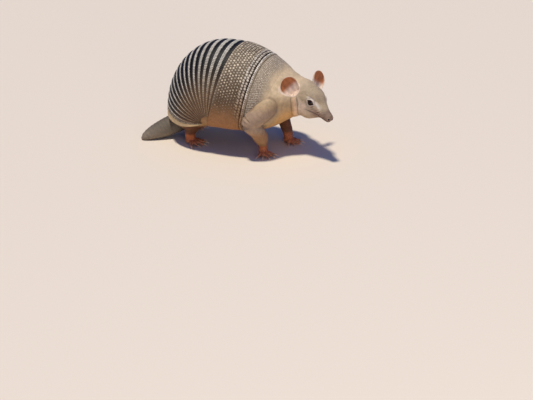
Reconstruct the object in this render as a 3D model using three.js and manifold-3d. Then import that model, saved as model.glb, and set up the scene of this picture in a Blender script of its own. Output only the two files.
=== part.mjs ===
// A life-size armadillo standing on its four feet, head turned to its right.
// Millimetres, +X towards the head, +Y to the animal's left, +Z up.

import * as THREE from 'three';
import { LoftGeometry } from 'three/addons/geometries/LoftGeometry.js';
import { mergeVertices } from 'three/addons/utils/BufferGeometryUtils.js';
import Module from 'manifold-3d';

const wasm = await Module();
wasm.setup();

const { degToRad, lerp } = THREE.MathUtils;
const UP = new THREE.Vector3( 0, 0, 1 );
const DOWN = new THREE.Vector3( 0, 0, - 1 );
const FORWARD = new THREE.Vector3( 1, 0, 0 );
const BACKWARD = new THREE.Vector3( - 1, 0, 0 );

// Driving dimensions

const PART_GAP = 0.4; // clear space between neighbouring pieces

const BODY_REAR = 138; // rear of the shell behind the highest point of the back
const BODY_REAR_POWER = 2.05; // 2 is an ellipse, more is squarer
const BODY_POWER = 2.2; // the same for the cross sections
// Half width, back, widest level and belly of the body at some distances from its highest point.
// Behind that point the sections also close towards the rear.
const BODY_STATIONS = [
	{ x: - 138, halfWidth: 106, top: 227, middle: 60, bottom: 8 },
	{ x: - 75, halfWidth: 106, top: 227, middle: 66, bottom: 13 },
	{ x: - 35, halfWidth: 106, top: 227, middle: 76, bottom: 33 },
	{ x: 0, halfWidth: 106, top: 227, middle: 84, bottom: 44 },
	{ x: 50, halfWidth: 105, top: 223, middle: 86, bottom: 43 },
	{ x: 95, halfWidth: 96, top: 205, middle: 92, bottom: 47 },
	{ x: 125, halfWidth: 82, top: 185.5, middle: 102, bottom: 58 },
	{ x: 150, halfWidth: 62, top: 167, middle: 114, bottom: 74 },
	{ x: 172, halfWidth: 42, top: 154, middle: 124, bottom: 94 },
];
const TRUNK_FRONT = 150; // where the chest hands over to the neck

const SHELL_THICKNESS = 2.4;
const SHELL_TO_SKIN = 2.2;
const TRUNK_DEPTH = SHELL_THICKNESS + SHELL_TO_SKIN; // skin below the shell's outer face

const BAND_STEPS = 14; // facets from one end of a band to the other
const SHIELD_STEPS = 20; // the same across a shield, which reaches further down
const BAND_COUNT = 16;
const BAND_HUB = { x: - 2, z: 70 }; // the bands fan out from this level on the flanks
const BAND_LAP = 0.9; // how far a band's front edge lies under the rear edge before it
const BAND_END = 81; // degrees round from the back line to the ends of a band
const BAND_FIRST = { back: - 5, flank: - 24 }; // degrees above the tail's direction
const BAND_LAST = 103;

const COLLAR_ANGLE = 100;
const COLLAR_FRONT_X = 77; // foot of the collar on the flanks
const COLLAR_WIDTH = 9;
const COLLAR_RISE = 0.8; // the collar stands this much above its neighbours
const SHIELD_END = 97; // degrees round from the back line to the hem of the middle shield
const SHOULDER_END = 76; // the same for the shoulder shield behind, and its front edge below
const SHOULDER_FRONT = { x: 118, z: 96, angle: 108, end: 64 };

const HEAD_NOSE = new THREE.Vector3( 255.3, - 50, 98.2 );
const HEAD_YAW = 30.5; // degrees to the animal's right
const HEAD_PITCH = 24; // degrees nose down
// Distance behind the nose, half width, height above and depth below the head's axis
const HEAD_STATIONS = [
	{ back: 111, halfWidth: 16.5, up: 11, down: 20 },
	{ back: 101.5, halfWidth: 24.5, up: 18, down: 34 },
	{ back: 88.5, halfWidth: 28.2, up: 22, down: 43 },
	{ back: 73.5, halfWidth: 28.6, up: 25.6, down: 46.5 },
	{ back: 58.2, halfWidth: 25.5, up: 27.2, down: 43 },
	{ back: 45, halfWidth: 20, up: 23.4, down: 31.7 },
	{ back: 32, halfWidth: 14.8, up: 17.4, down: 19.8 },
	{ back: 19.2, halfWidth: 11.3, up: 11.8, down: 12.2 },
	{ back: 7.9, halfWidth: 9.6, up: 9.4, down: 9.6 },
	{ back: 3, halfWidth: 8.6, up: 8.4, down: 8.4 },
];
const HEAD_CUT = 92; // distance behind the nose where the head meets the neck
const HEAD_POWER = 2.1;
// The scaly cap of the head. A place counts along the list above, an angle runs down each side from the top.
const HEAD_SHIELD = { thickness: 1.6, lift: 0.8, closing: 0.4, rows: 5, steps: 8 };
const HEAD_SHIELD_FRONT = { place: 6.3, angle: 34 };
const HEAD_SHIELD_REAR = { place: 2.5, angle: 58 };
const EYE = { radius: 7, back: 50.8, side: 18.7, up: 10.2 };
const EAR = { back: 87, side: 28.5, up: 3, height: 43, halfWidth: 21.5, depth: 12, thickness: 1.8 };
const EAR_TILT = 29; // degrees outwards from upright
const EAR_LEAN = 25; // degrees backwards
const EAR_TURN = 20; // degrees that the hollow side turns outwards from straight ahead

const NECK_STATIONS = [
	{ x: 118, y: 0, z: 124, halfWidth: 60, up: 48, down: 48 },
	{ x: 148, y: - 1, z: 127, halfWidth: 57.5, up: 39, down: 50 },
	{ x: 164, y: - 2, z: 132, halfWidth: 40, up: 31, down: 46 },
	{ x: 177, y: - 5, z: 136, halfWidth: 30, up: 27.5, down: 40 },
	{ x: 190, y: - 11, z: 135, halfWidth: 24, up: 23, down: 30 },
];

const TAIL_STATIONS = [
	{ x: - 100, y: 0, z: 36, halfWidth: 22, up: 18, down: 18 },
	{ x: - 122, y: - 15, z: 28, halfWidth: 25, up: 22, down: 20 },
	{ x: - 142, y: - 35, z: 19.5, halfWidth: 22.5, up: 20.5, down: 18 },
	{ x: - 158, y: - 52, z: 12.5, halfWidth: 18, up: 16.5, down: 12.3 },
	{ x: - 169, y: - 64, z: 8, halfWidth: 12, up: 10.5, down: 7.9 },
	{ x: - 175, y: - 71, z: 4.6, halfWidth: 5.5, up: 5, down: 4.5 },
];

const FOOT_CUT = 20; // level where a foot meets its leg
const PALM = { length: 13, halfWidth: 10.3, up: 6, down: 8, level: 7 };
const TOE_COUNT = 5;
const TOE_FAN = 104; // degrees from the first toe of a foot to the last
const TOE = { baseRadius: 3.9, tipRadius: 2.45, knuckle: 7.3, tip: 3.15, shorter: 0.12 };
const CLAW = { length: 11, radius: 2.4, tipRadius: 0.5, drop: 1.6 };
const TOE_END = 0.3; // roundness of a toe's end, as a part of its radius
const CLAW_START = TOE_END * TOE.tipRadius + 3 * PART_GAP; // beyond the last section of a toe

// Centre line and radius of each leg from the body to the ankle
const LEGS = [
	{
		name: 'foreleg_right', foot: 'forefoot_right', heading: - 44, toeLength: 20,
		stations: [
			[ 121, - 70, 114, 21 ],
			[ 110, - 88, 99, 21 ],
			[ 95, - 97, 82, 18.5 ],
			[ 105, - 86, 63, 15.5 ],
			[ 108, - 70, 44, 15.5 ],
			[ 107, - 59, 27, 9.8 ],
			[ 107, - 55, 12, 8.8 ],
		],
	},
	{
		name: 'foreleg_left', foot: 'forefoot_left', heading: - 14, toeLength: 21,
		stations: [
			[ 126, 58, 116, 24 ],
			[ 112, 76, 94, 21 ],
			[ 100, 80, 70, 17 ],
			[ 108, 60, 46, 14 ],
			[ 123, 44, 26, 11.5 ],
			[ 127, 40, 10, 9.5 ],
		],
	},
	{
		name: 'hindleg_right', foot: 'hindfoot_right', heading: - 8, toeLength: 26,
		stations: [
			[ - 46, - 56, 80, 26 ],
			[ - 52, - 58, 60, 22 ],
			[ - 62, - 56, 42, 16 ],
			[ - 69, - 51, 24, 11.5 ],
			[ - 69, - 49, 10, 10 ],
		],
	},
	{
		name: 'hindleg_left', foot: 'hindfoot_left', heading: 18, toeLength: 26,
		stations: [
			[ - 66, 48, 80, 26 ],
			[ - 80, 48, 58, 21 ],
			[ - 100, 45, 40, 15 ],
			[ - 115, 41, 24, 11.5 ],
			[ - 117, 40, 10, 10 ],
		],
	},
];

const FAR = 600; // larger than the whole animal, for cutting boxes

// Joining and cutting

function solidFrom( geometry ) {

	const bare = new THREE.BufferGeometry().copy( geometry );
	bare.deleteAttribute( 'normal' );
	bare.deleteAttribute( 'uv' );
	const merged = mergeVertices( bare );
	return new wasm.Manifold( new wasm.Mesh( {
		numProp: 3,
		vertProperties: Float32Array.from( merged.attributes.position.array ),
		triVerts: Uint32Array.from( merged.index.array ),
	} ) );

}

function geometryFrom( solid ) {

	const { vertProperties, triVerts } = solid.getMesh();
	const geometry = new THREE.BufferGeometry();
	geometry.setAttribute( 'position', new THREE.BufferAttribute( Float32Array.from( vertProperties ), 3 ) );
	geometry.setIndex( new THREE.BufferAttribute( Uint32Array.from( triVerts ), 1 ) );
	geometry.computeVertexNormals();
	return geometry;

}

// All of space on the side of a point that a direction points to
function halfSpace( point, direction ) {

	const box = new THREE.BoxGeometry( FAR, FAR, FAR );
	box.translate( 0, 0, FAR / 2 );
	box.applyQuaternion( new THREE.Quaternion().setFromUnitVectors( UP, direction ) );
	box.translate( point.x, point.y, point.z );
	return solidFrom( box );

}

function aboveFloor( solid ) {

	return solid.intersect( halfSpace( new THREE.Vector3(), UP ) );

}

// Lofts

function smoothValues( stations, keys ) {

	const places = stations.map( ( station, i ) => i );
	const samples = stations.flatMap( ( station ) => keys.map( ( key ) => station[ key ] ) );
	return new THREE.CubicInterpolant( places, samples, keys.length );

}

function rounded( value, power ) {

	return Math.sign( value ) * Math.pow( Math.abs( value ), 2 / power );

}

// Points round an oval, anticlockwise from the side that the loft heads to
function ovalRing( { centre, across, upward, halfWidth, up, down }, sides, power ) {

	return Array.from( { length: sides }, ( _, i ) => {

		const turn = ( i / sides ) * 2 * Math.PI;
		const rise = rounded( Math.sin( turn ), power );
		return centre.clone()
			.addScaledVector( across, halfWidth * rounded( Math.cos( turn ), power ) )
			.addScaledVector( upward, ( rise > 0 ? up : down ) * rise );

	} );

}

// A closed loft through smoothed stations with round ends
function loftThrough( stations, options ) {

	const { grow = 0, steps = 10, sides = 16, power = 2, hint = UP, ends = [ 1, 1 ], endRings = 2 } = options;
	const values = smoothValues( stations, [ 'x', 'y', 'z', 'halfWidth', 'up', 'down' ] );
	const centreAt = ( place ) => new THREE.Vector3( ...values.evaluate( place ).slice( 0, 3 ) );
	const last = stations.length - 1;

	function sectionAt( place, end = 0, turn = 0 ) {

		const before = centreAt( Math.max( place - 0.01, 0 ) );
		const tangent = centreAt( Math.min( place + 0.01, last ) ).sub( before ).normalize();
		const across = new THREE.Vector3().crossVectors( hint, tangent ).normalize();
		const upward = new THREE.Vector3().crossVectors( tangent, across );
		const centre = centreAt( place );
		const [ halfWidth, up, down ] = values.evaluate( place ).slice( 3 ).map( ( size ) => size + grow );
		const shrink = Math.cos( turn );
		centre.addScaledVector( tangent, end * Math.min( halfWidth, up ) * Math.sin( turn ) );
		return ovalRing( {
			centre, across, upward,
			halfWidth: halfWidth * shrink, up: up * shrink, down: down * shrink,
		}, sides, power );

	}

	const endTurns = Array.from( { length: endRings }, ( _, i ) => degToRad( ( 82 * ( i + 1 ) ) / endRings ) );
	const start = endTurns.toReversed().map( ( turn ) => sectionAt( 0, - ends[ 0 ], turn ) );
	const middle = Array.from( { length: steps + 1 }, ( _, i ) => sectionAt( ( i / steps ) * last ) );
	const finish = endTurns.map( ( turn ) => sectionAt( last, ends[ 1 ], turn ) );
	return new LoftGeometry( [ ...start, ...middle, ...finish ], { capStart: true, capEnd: true } );

}

function tubeStations( points ) {

	return points.map( ( [ x, y, z, radius ] ) =>
		( { x, y, z, halfWidth: radius, up: radius, down: radius } ) );

}

// The outer form of the body, which the shell follows

const bodyPlaces = BODY_STATIONS.map( ( station ) => station.x );
const bodySizes = BODY_STATIONS.flatMap( ( { halfWidth, top, middle, bottom } ) =>
	[ halfWidth, top, middle, bottom ] );
const bodyProfile = new THREE.CubicInterpolant( bodyPlaces, bodySizes, 4 );

// The cross section at x of the body with its surface moved in by depth
function bodySection( x, depth ) {

	const [ halfWidth, top, middle, bottom ] = bodyProfile.evaluate( x );
	const rear = Math.min( Math.max( - x, 0 ) / ( BODY_REAR - depth ), 1 );
	const closing = Math.pow( 1 - Math.pow( rear, BODY_REAR_POWER ), 1 / BODY_REAR_POWER );
	return {
		middle,
		halfWidth: ( halfWidth - depth ) * closing,
		up: ( top - middle - depth ) * closing,
		down: ( middle - bottom - depth ) * closing,
	};

}

function insideBody( point, depth ) {

	const { middle, halfWidth, up, down } = bodySection( point.x, depth );
	if ( halfWidth <= 0 ) return false;
	const rise = point.z - middle;
	const high = Math.abs( rise ) / ( rise > 0 ? up : down );
	return Math.pow( Math.abs( point.y ) / halfWidth, BODY_POWER ) + Math.pow( high, BODY_POWER ) < 1;

}

// Where a line from a hub under the back, turned down to a flank, meets the body's surface
function surfacePoint( { hubX, hubZ, angle }, round, depth ) {

	const direction = new THREE.Vector3( - Math.cos( angle ), 0, Math.sin( angle ) );
	direction.multiplyScalar( Math.cos( round ) );
	direction.y = Math.sin( round );
	const hub = new THREE.Vector3( hubX, 0, hubZ );
	let near = 0;
	let far = FAR / 2;
	while ( far - near > 0.001 ) {

		const middle = ( near + far ) / 2;
		const inside = insideBody( hub.clone().addScaledVector( direction, middle ), depth );
		near = inside ? middle : near;
		far = inside ? far : middle;

	}

	return hub.addScaledVector( direction, near );

}

function bodyLoft( depth ) {

	const rearSteps = 8;
	const frontSteps = 6;
	const rearPlaces = Array.from( { length: rearSteps }, ( _, i ) =>
		- ( BODY_REAR - depth ) * Math.cos( ( ( i + 0.3 ) / rearSteps ) * ( Math.PI / 2 ) ) );
	const frontPlaces = Array.from( { length: frontSteps + 1 }, ( _, i ) => ( i / frontSteps ) * TRUNK_FRONT );
	const sections = [ ...rearPlaces, ...frontPlaces ].map( ( x ) => {

		const { middle, ...sizes } = bodySection( x, depth );
		const centre = new THREE.Vector3( x, 0, middle );
		return ovalRing( { centre, across: new THREE.Vector3( 0, 1, 0 ), upward: UP, ...sizes }, 20, BODY_POWER );

	} );
	return solidFrom( new LoftGeometry( sections, { capStart: true, capEnd: true } ) );

}

// Shell plates

// The plane of an edge between plates: its hub on the mid line and its angle at each place round the body
function plateEdge( { x, z, back, flank = back, end } ) {

	return { x, z, back: degToRad( back ), flank: degToRad( flank ), end: degToRad( end ) };

}

// One edge of a plate, moved along the body by shift, at a part of the way from the right hem to the left
function edgePoint( edge, part, depth, shift ) {

	const round = lerp( - edge.end, edge.end, part );
	const angle = lerp( edge.back, edge.flank, Math.pow( Math.sin( round ), 2 ) );
	const hubX = edge.x + shift * Math.sin( angle );
	const hubZ = edge.z + shift * Math.cos( angle );
	return surfacePoint( { hubX, hubZ, angle }, round, depth );

}

// A curved plate through edges listed from its tail side to its head side, with the outer depth at each
function plateSolid( edges, depths, steps ) {

	const clearance = edges.map( () => 0 );
	clearance[ 0 ] = PART_GAP / 2;
	clearance[ edges.length - 1 ] = - PART_GAP / 2;
	const sections = Array.from( { length: steps + 1 }, ( _, step ) => {

		const part = step / steps;
		const outer = edges.map( ( edge, i ) => edgePoint( edge, part, depths[ i ], clearance[ i ] ) );
		const inner = edges.map( ( edge, i ) => edgePoint( edge, part, SHELL_THICKNESS, clearance[ i ] ) );
		return [ ...outer, ...inner.toReversed() ];

	} );
	return solidFrom( new LoftGeometry( sections, { capStart: true, capEnd: true } ) );

}

function bandEdge( number ) {

	const part = number / BAND_COUNT;
	return plateEdge( {
		...BAND_HUB,
		back: lerp( BAND_FIRST.back, BAND_LAST, part ),
		flank: lerp( BAND_FIRST.flank, BAND_LAST, part ),
		end: BAND_END,
	} );

}

function bandSolid( number ) {

	return plateSolid( [ bandEdge( number ), bandEdge( number + 1 ) ], [ 0, BAND_LAP ], BAND_STEPS );

}

// Edges between the last band and the front of the collar
function middleEdge( x ) {

	const part = ( x - BAND_HUB.x ) / ( COLLAR_FRONT_X - BAND_HUB.x );
	return plateEdge( { x, z: BAND_HUB.z, back: lerp( BAND_LAST, COLLAR_ANGLE, part ), end: SHIELD_END } );

}

function edgesBetween( edgeAt, from, to, count ) {

	return Array.from( { length: count + 1 }, ( _, i ) => edgeAt( lerp( from, to, i / count ) ) );

}

function middleShieldSolid() {

	const edges = edgesBetween( middleEdge, BAND_HUB.x, COLLAR_FRONT_X - COLLAR_WIDTH, 2 );
	return plateSolid( edges, edges.map( () => 0 ), SHIELD_STEPS );

}

function collarSolid() {

	const edges = edgesBetween( middleEdge, COLLAR_FRONT_X - COLLAR_WIDTH, COLLAR_FRONT_X, 2 );
	return plateSolid( edges, [ 0, - COLLAR_RISE, 0 ], SHIELD_STEPS );

}

// Edges between the collar, part 0, and the shoulder shield's front, part 1
function shoulderEdge( part ) {

	return plateEdge( {
		x: lerp( COLLAR_FRONT_X, SHOULDER_FRONT.x, part ),
		z: lerp( BAND_HUB.z, SHOULDER_FRONT.z, part ),
		back: lerp( COLLAR_ANGLE, SHOULDER_FRONT.angle, part ),
		end: lerp( SHOULDER_END, SHOULDER_FRONT.end, part ),
	} );

}

function shoulderShieldSolid() {

	const edges = edgesBetween( shoulderEdge, 0, 1, 4 );
	return plateSolid( edges, edges.map( () => 0 ), SHIELD_STEPS );

}

// Head, in its own frame: the nose at the origin, +X forwards, +Z up

const headGroup = new THREE.Group();
headGroup.position.copy( HEAD_NOSE );
headGroup.rotation.set( 0, degToRad( HEAD_PITCH ), - degToRad( HEAD_YAW ), 'ZYX' );
headGroup.updateMatrixWorld();

const headProfile = smoothValues( HEAD_STATIONS, [ 'back', 'halfWidth', 'up' ] );

function headLoft( grow ) {

	const stations = HEAD_STATIONS.map( ( { back, ...sizes } ) => ( { x: - back, y: 0, z: 0, ...sizes } ) );
	const options = { grow, steps: 11, sides: 14, power: HEAD_POWER, ends: [ 1, 0.35 ] };
	return solidFrom( loftThrough( stations, options ) );

}

// A point on the head, down one side from its top, moved out by grow
function headPoint( place, angle, grow ) {

	const [ back, halfWidth, up ] = headProfile.evaluate( place );
	const side = ( halfWidth + grow ) * rounded( Math.sin( angle ), HEAD_POWER );
	return new THREE.Vector3( - back, side, ( up + grow ) * rounded( Math.cos( angle ), HEAD_POWER ) );

}

function headShieldSolid() {

	const { rows, steps, thickness, lift } = HEAD_SHIELD;
	const rowAt = ( row ) => {

		const part = row / rows;
		const closing = 1 - HEAD_SHIELD.closing * Math.pow( 2 * part - 1, 4 );
		return {
			place: lerp( HEAD_SHIELD_REAR.place, HEAD_SHIELD_FRONT.place, part ),
			angle: degToRad( lerp( HEAD_SHIELD_REAR.angle, HEAD_SHIELD_FRONT.angle, part ) ) * closing,
		};

	};
	const places = Array.from( { length: rows + 1 }, ( _, row ) => rowAt( row ) );
	const sections = Array.from( { length: steps + 1 }, ( _, step ) => {

		const across = lerp( - 1, 1, step / steps );
		const outer = places.map( ( { place, angle } ) => headPoint( place, angle * across, lift + thickness ) );
		const inner = places.map( ( { place, angle } ) => headPoint( place, angle * across, lift ) );
		return [ ...outer, ...inner.toReversed() ];

	} );
	return solidFrom( new LoftGeometry( sections, { capStart: true, capEnd: true } ) );

}

function eyePlace( side ) {

	return new THREE.Vector3( - EYE.back, side * EYE.side, EYE.up );

}

function ball( radius, place, detail ) {

	const sphere = new THREE.SphereGeometry( radius, detail, detail / 2 );
	return solidFrom( sphere.translate( place.x, place.y, place.z ) );

}

// A leaf-shaped cup: the sections are crescents that grow and close again up the ear
function earLoft() {

	const rows = 8;
	const across = 6;
	const spread = degToRad( 75 );

	function crescent( row ) {

		const part = Math.sin( ( row / rows ) * ( Math.PI / 2 ) );
		const leaf = Math.pow( Math.sin( Math.PI * ( 0.08 + 0.56 * part ) ), 1.2 );
		const width = EAR.halfWidth * lerp( 0.34, 1, leaf );
		const closing = Math.sqrt( Math.max( 1 - Math.pow( part, 4 ), 0.01 ) );
		const halfWidth = width * closing;
		const depth = EAR.depth * lerp( 0.9, 0.45, part ) * closing;
		const height = EAR.height * part;
		const arc = Array.from( { length: across + 1 }, ( _, i ) => {

			const turn = lerp( - spread, spread, i / across );
			const side = Math.sin( turn ) / Math.sin( spread );
			const back = ( Math.cos( turn ) - Math.cos( spread ) ) / ( 1 - Math.cos( spread ) );
			return { side, back };

		} );
		const inner = arc.map( ( { side, back } ) => new THREE.Vector3( - depth * back, side * halfWidth, height ) );
		const outer = arc.map( ( { side, back } ) => new THREE.Vector3(
			- depth * back - EAR.thickness * lerp( 0.6, 1, back ), side * ( halfWidth + 0.4 ), height ) );
		return [ ...inner, ...outer.toReversed() ];

	}

	const sections = Array.from( { length: rows + 1 }, ( _, row ) => crescent( row ) );
	return new LoftGeometry( sections, { capStart: true, capEnd: true } );

}

function earSolid( side ) {

	const geometry = earLoft();
	const turn = new THREE.Matrix4().makeRotationFromEuler( new THREE.Euler(
		- side * degToRad( EAR_TILT ), degToRad( HEAD_PITCH * - 1 - EAR_LEAN ), 0, 'YXZ' ) );
	const open = new THREE.Matrix4().makeRotationZ( side * degToRad( EAR_TURN ) );
	geometry.applyMatrix4( turn.multiply( open ) );
	geometry.translate( - EAR.back, side * EAR.side, EAR.up );
	return solidFrom( geometry );

}

function neckSolid( grow ) {

	return solidFrom( loftThrough( NECK_STATIONS, { grow, steps: 7, sides: 18 } ) );

}

// Feet

function toeHeading( leg, number ) {

	return degToRad( leg.heading + TOE_FAN * ( number / ( TOE_COUNT - 1 ) - 0.5 ) );

}

function toeLength( leg, number ) {

	return leg.toeLength * ( 1 - TOE.shorter * Math.abs( number - ( TOE_COUNT - 1 ) / 2 ) );

}

function footPlace( leg ) {

	const [ x, y ] = leg.stations.at( - 1 );
	return new THREE.Vector3( x, y, 0 );

}

function toeTip( leg, number ) {

	const heading = toeHeading( leg, number );
	const reach = PALM.length * 0.6 + toeLength( leg, number );
	const way = new THREE.Vector3( reach * Math.cos( heading ), reach * Math.sin( heading ), TOE.tip );
	return footPlace( leg ).add( way );

}

function toeSolid( leg, number ) {

	const tip = toeTip( leg, number );
	const base = footPlace( leg );
	const along = ( part, level, radius ) =>
		[ lerp( base.x, tip.x, part ), lerp( base.y, tip.y, part ), level, radius ];
	const points = [
		along( 0.15, TOE.knuckle, TOE.baseRadius ),
		along( 0.6, TOE.knuckle * 0.72, TOE.baseRadius * 0.86 ),
		along( 1, TOE.tip, TOE.tipRadius ),
	];
	const options = { steps: 2, sides: 6, ends: [ 0.5, TOE_END ], endRings: 1 };
	return solidFrom( loftThrough( tubeStations( points ), options ) );

}

function palmSolid( leg ) {

	const heading = degToRad( leg.heading );
	const base = footPlace( leg );
	const station = ( reach, scale ) => ( {
		x: base.x + reach * Math.cos( heading ),
		y: base.y + reach * Math.sin( heading ),
		z: PALM.level,
		halfWidth: PALM.halfWidth * scale,
		up: PALM.up * scale,
		down: PALM.down,
	} );
	const reach = PALM.length * 0.6;
	const stations = [ station( - reach, 0.75 ), station( 0, 1 ), station( reach, 1 ) ];
	return solidFrom( loftThrough( stations, { steps: 2, sides: 8, ends: [ 0.8, 0.8 ], endRings: 1 } ) );

}

function legLoft( leg, grow ) {

	const options = { grow, steps: 8, sides: 9, hint: FORWARD, ends: [ 1, 0.3 ] };
	return solidFrom( loftThrough( tubeStations( leg.stations ), options ) );

}

function footSolid( leg ) {

	const toes = Array.from( { length: TOE_COUNT }, ( _, number ) => toeSolid( leg, number ) );
	const whole = toes.reduce( ( sum, toe ) => sum.add( toe ), palmSolid( leg ).add( legLoft( leg, 0 ) ) );
	const belowCut = halfSpace( new THREE.Vector3( 0, 0, FOOT_CUT - PART_GAP ), DOWN );
	return aboveFloor( whole.intersect( belowCut ) );

}

function clawGeometry() {

	const points = [
		[ 0, 0, 0, CLAW.radius ],
		[ CLAW.length * 0.5, 0, - CLAW.drop * 0.15, CLAW.radius * 0.72 ],
		[ CLAW.length, 0, - CLAW.drop, CLAW.tipRadius ],
	];
	const options = { steps: 2, sides: 5, ends: [ 0.1, 0.5 ], endRings: 1 };
	return geometryFrom( solidFrom( loftThrough( tubeStations( points ), options ) ) );

}

// Materials

function material( color, roughness ) {

	return new THREE.MeshStandardMaterial( { color, roughness, metalness: 0 } );

}

const skinMaterial = material( 0xc2ad8a, 0.75 );
const legMaterial = material( 0xb89a74, 0.75 );
const footMaterial = material( 0x8a4e2e, 0.7 );
const clawMaterial = material( 0xc99a72, 0.45 );
const eyeMaterial = material( 0x1a0f0a, 0.1 );
const earMaterial = material( 0xb07a55, 0.7 );
const tailMaterial = material( 0x7d776a, 0.65 );
const bandMaterial = material( 0x3a322b, 0.6 );
const shieldMaterial = material( 0x9a8569, 0.6 );

// The whole animal

const armadillo = new THREE.Group();

function addPiece( name, geometry, pieceMaterial, parent = armadillo ) {

	const mesh = new THREE.Mesh( geometry, pieceMaterial );
	mesh.name = name;
	parent.add( mesh );
	return mesh;

}

const trunkGrown = bodyLoft( TRUNK_DEPTH - PART_GAP );

function addShell() {

	for ( let number = 0; number < BAND_COUNT; number ++ ) {

		const name = `band_${ String( number + 1 ).padStart( 2, '0' ) }`;
		addPiece( name, geometryFrom( bandSolid( number ) ), bandMaterial );

	}

	const arms = legLoft( LEGS[ 0 ], PART_GAP ).add( legLoft( LEGS[ 1 ], PART_GAP ) );
	addPiece( 'middle_shield', geometryFrom( middleShieldSolid().subtract( arms ) ), shieldMaterial );
	addPiece( 'collar', geometryFrom( collarSolid().subtract( arms ) ), shieldMaterial );
	addPiece( 'shoulder_shield', geometryFrom( shoulderShieldSolid().subtract( arms ) ), shieldMaterial );

}

function addHead() {

	const cutPoint = new THREE.Vector3( - HEAD_CUT, 0, 0 );
	const [ rightSocket, leftSocket ] = [ - 1, 1 ].map( ( side ) =>
		ball( EYE.radius + 2 * PART_GAP, eyePlace( side ), 12 ) );
	const whole = headLoft( 0 ).intersect( halfSpace( cutPoint, FORWARD ) );
	const head = whole.subtract( rightSocket ).subtract( leftSocket );
	addPiece( 'head', geometryFrom( head ), skinMaterial, headGroup );

	addPiece( 'head_shield', geometryFrom( headShieldSolid() ), shieldMaterial, headGroup );

	const intoHead = headGroup.matrixWorld.clone().invert().elements;
	const grown = headLoft( PART_GAP ).add( neckSolid( PART_GAP ).add( trunkGrown ).transform( intoHead ) );
	for ( const [ side, name ] of [ [ - 1, 'right' ], [ 1, 'left' ] ] ) {

		addPiece( `ear_${ name }`, geometryFrom( earSolid( side ).subtract( grown ) ), earMaterial, headGroup );
		const eyeball = new THREE.SphereGeometry( EYE.radius, 10, 7 );
		const eye = addPiece( `eye_${ name }`, eyeball, eyeMaterial, headGroup );
		eye.position.copy( eyePlace( side ) );

	}

	armadillo.add( headGroup );

}

function addTrunkAndNeck() {

	const chestPoint = new THREE.Vector3( TRUNK_FRONT, 0, 0 );
	const neckPoint = new THREE.Vector3( TRUNK_FRONT + PART_GAP, 0, 0 );
	const headPoint = new THREE.Vector3( - HEAD_CUT - PART_GAP, 0, 0 );
	const behindHead = halfSpace( headPoint, BACKWARD ).transform( headGroup.matrixWorld.elements );
	const trunk = bodyLoft( TRUNK_DEPTH );
	const headInPlace = headLoft( 0 ).transform( headGroup.matrixWorld.elements );
	const flesh = trunk.add( neckSolid( 0 ) ).add( headInPlace );
	const chest = flesh.intersect( halfSpace( chestPoint, BACKWARD ) );
	const throat = flesh.intersect( halfSpace( neckPoint, FORWARD ) ).intersect( behindHead );
	addPiece( 'trunk', geometryFrom( chest ), skinMaterial );
	addPiece( 'neck', geometryFrom( throat ), skinMaterial );

}

function addTail() {

	const whole = solidFrom( loftThrough( TAIL_STATIONS, { steps: 6, sides: 12 } ) );
	addPiece( 'tail', geometryFrom( aboveFloor( whole ).subtract( trunkGrown ) ), tailMaterial );

}

function addLegs() {

	const claw = clawGeometry();
	for ( const leg of LEGS ) {

		const aboveCut = halfSpace( new THREE.Vector3( 0, 0, FOOT_CUT ), UP );
		const limb = legLoft( leg, 0 ).intersect( aboveCut ).subtract( trunkGrown );
		addPiece( leg.name, geometryFrom( limb ), legMaterial );
		addPiece( leg.foot, geometryFrom( footSolid( leg ) ), footMaterial );
		for ( let number = 0; number < TOE_COUNT; number ++ ) {

			const mesh = addPiece( `${ leg.foot }_claw_${ number + 1 }`, claw, clawMaterial );
			const heading = toeHeading( leg, number );
			mesh.rotation.z = heading;
			mesh.position.copy( toeTip( leg, number ) );
			mesh.translateX( CLAW_START );

		}

	}

}

addShell();
addHead();
addTrunkAndNeck();
addTail();
addLegs();

// The origin lies on the floor under the middle of the whole animal
const bounds = new THREE.Box3().setFromObject( armadillo, true );
armadillo.position.copy( bounds.getCenter( new THREE.Vector3() ).negate() ).setZ( - bounds.min.z );

export default armadillo;
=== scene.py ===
"""The looks of a life-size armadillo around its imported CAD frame.

Forms are worked out in millimetres in the animal's own frame (+X to the head, +Y to its left, floor at 0, the
highest point of the back over 0) and placed in the row frame by the boxes of CAD nodes.
"""

import math

import bmesh
import bpy
import numpy as np
from mathutils import Euler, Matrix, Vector


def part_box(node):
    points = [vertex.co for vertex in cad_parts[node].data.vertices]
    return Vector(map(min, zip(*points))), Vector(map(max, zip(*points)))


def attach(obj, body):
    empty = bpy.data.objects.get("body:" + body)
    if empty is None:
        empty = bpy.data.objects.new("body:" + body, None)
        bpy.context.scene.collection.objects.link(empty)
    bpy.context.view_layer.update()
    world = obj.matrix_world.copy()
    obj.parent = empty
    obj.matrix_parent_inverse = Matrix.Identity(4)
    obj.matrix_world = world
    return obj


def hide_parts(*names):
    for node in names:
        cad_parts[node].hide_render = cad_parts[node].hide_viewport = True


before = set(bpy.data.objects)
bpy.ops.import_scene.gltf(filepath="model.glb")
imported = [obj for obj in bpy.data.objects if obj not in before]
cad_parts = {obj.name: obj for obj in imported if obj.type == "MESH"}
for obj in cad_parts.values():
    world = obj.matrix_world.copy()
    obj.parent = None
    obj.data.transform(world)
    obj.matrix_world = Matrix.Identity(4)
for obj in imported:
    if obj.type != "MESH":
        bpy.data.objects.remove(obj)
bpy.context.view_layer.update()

MM = 0.001
SHELL_REAR = 137.94  # from the highest point of the back to the rear of the first band
ORIGIN = Vector((
    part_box("band_01")[0].x + SHELL_REAR * MM,
    (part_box("middle_shield")[0].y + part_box("middle_shield")[1].y) / 2,
    0.0,
))

# ---------------------------------------------------------------- sizes, in millimetres and degrees

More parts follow.
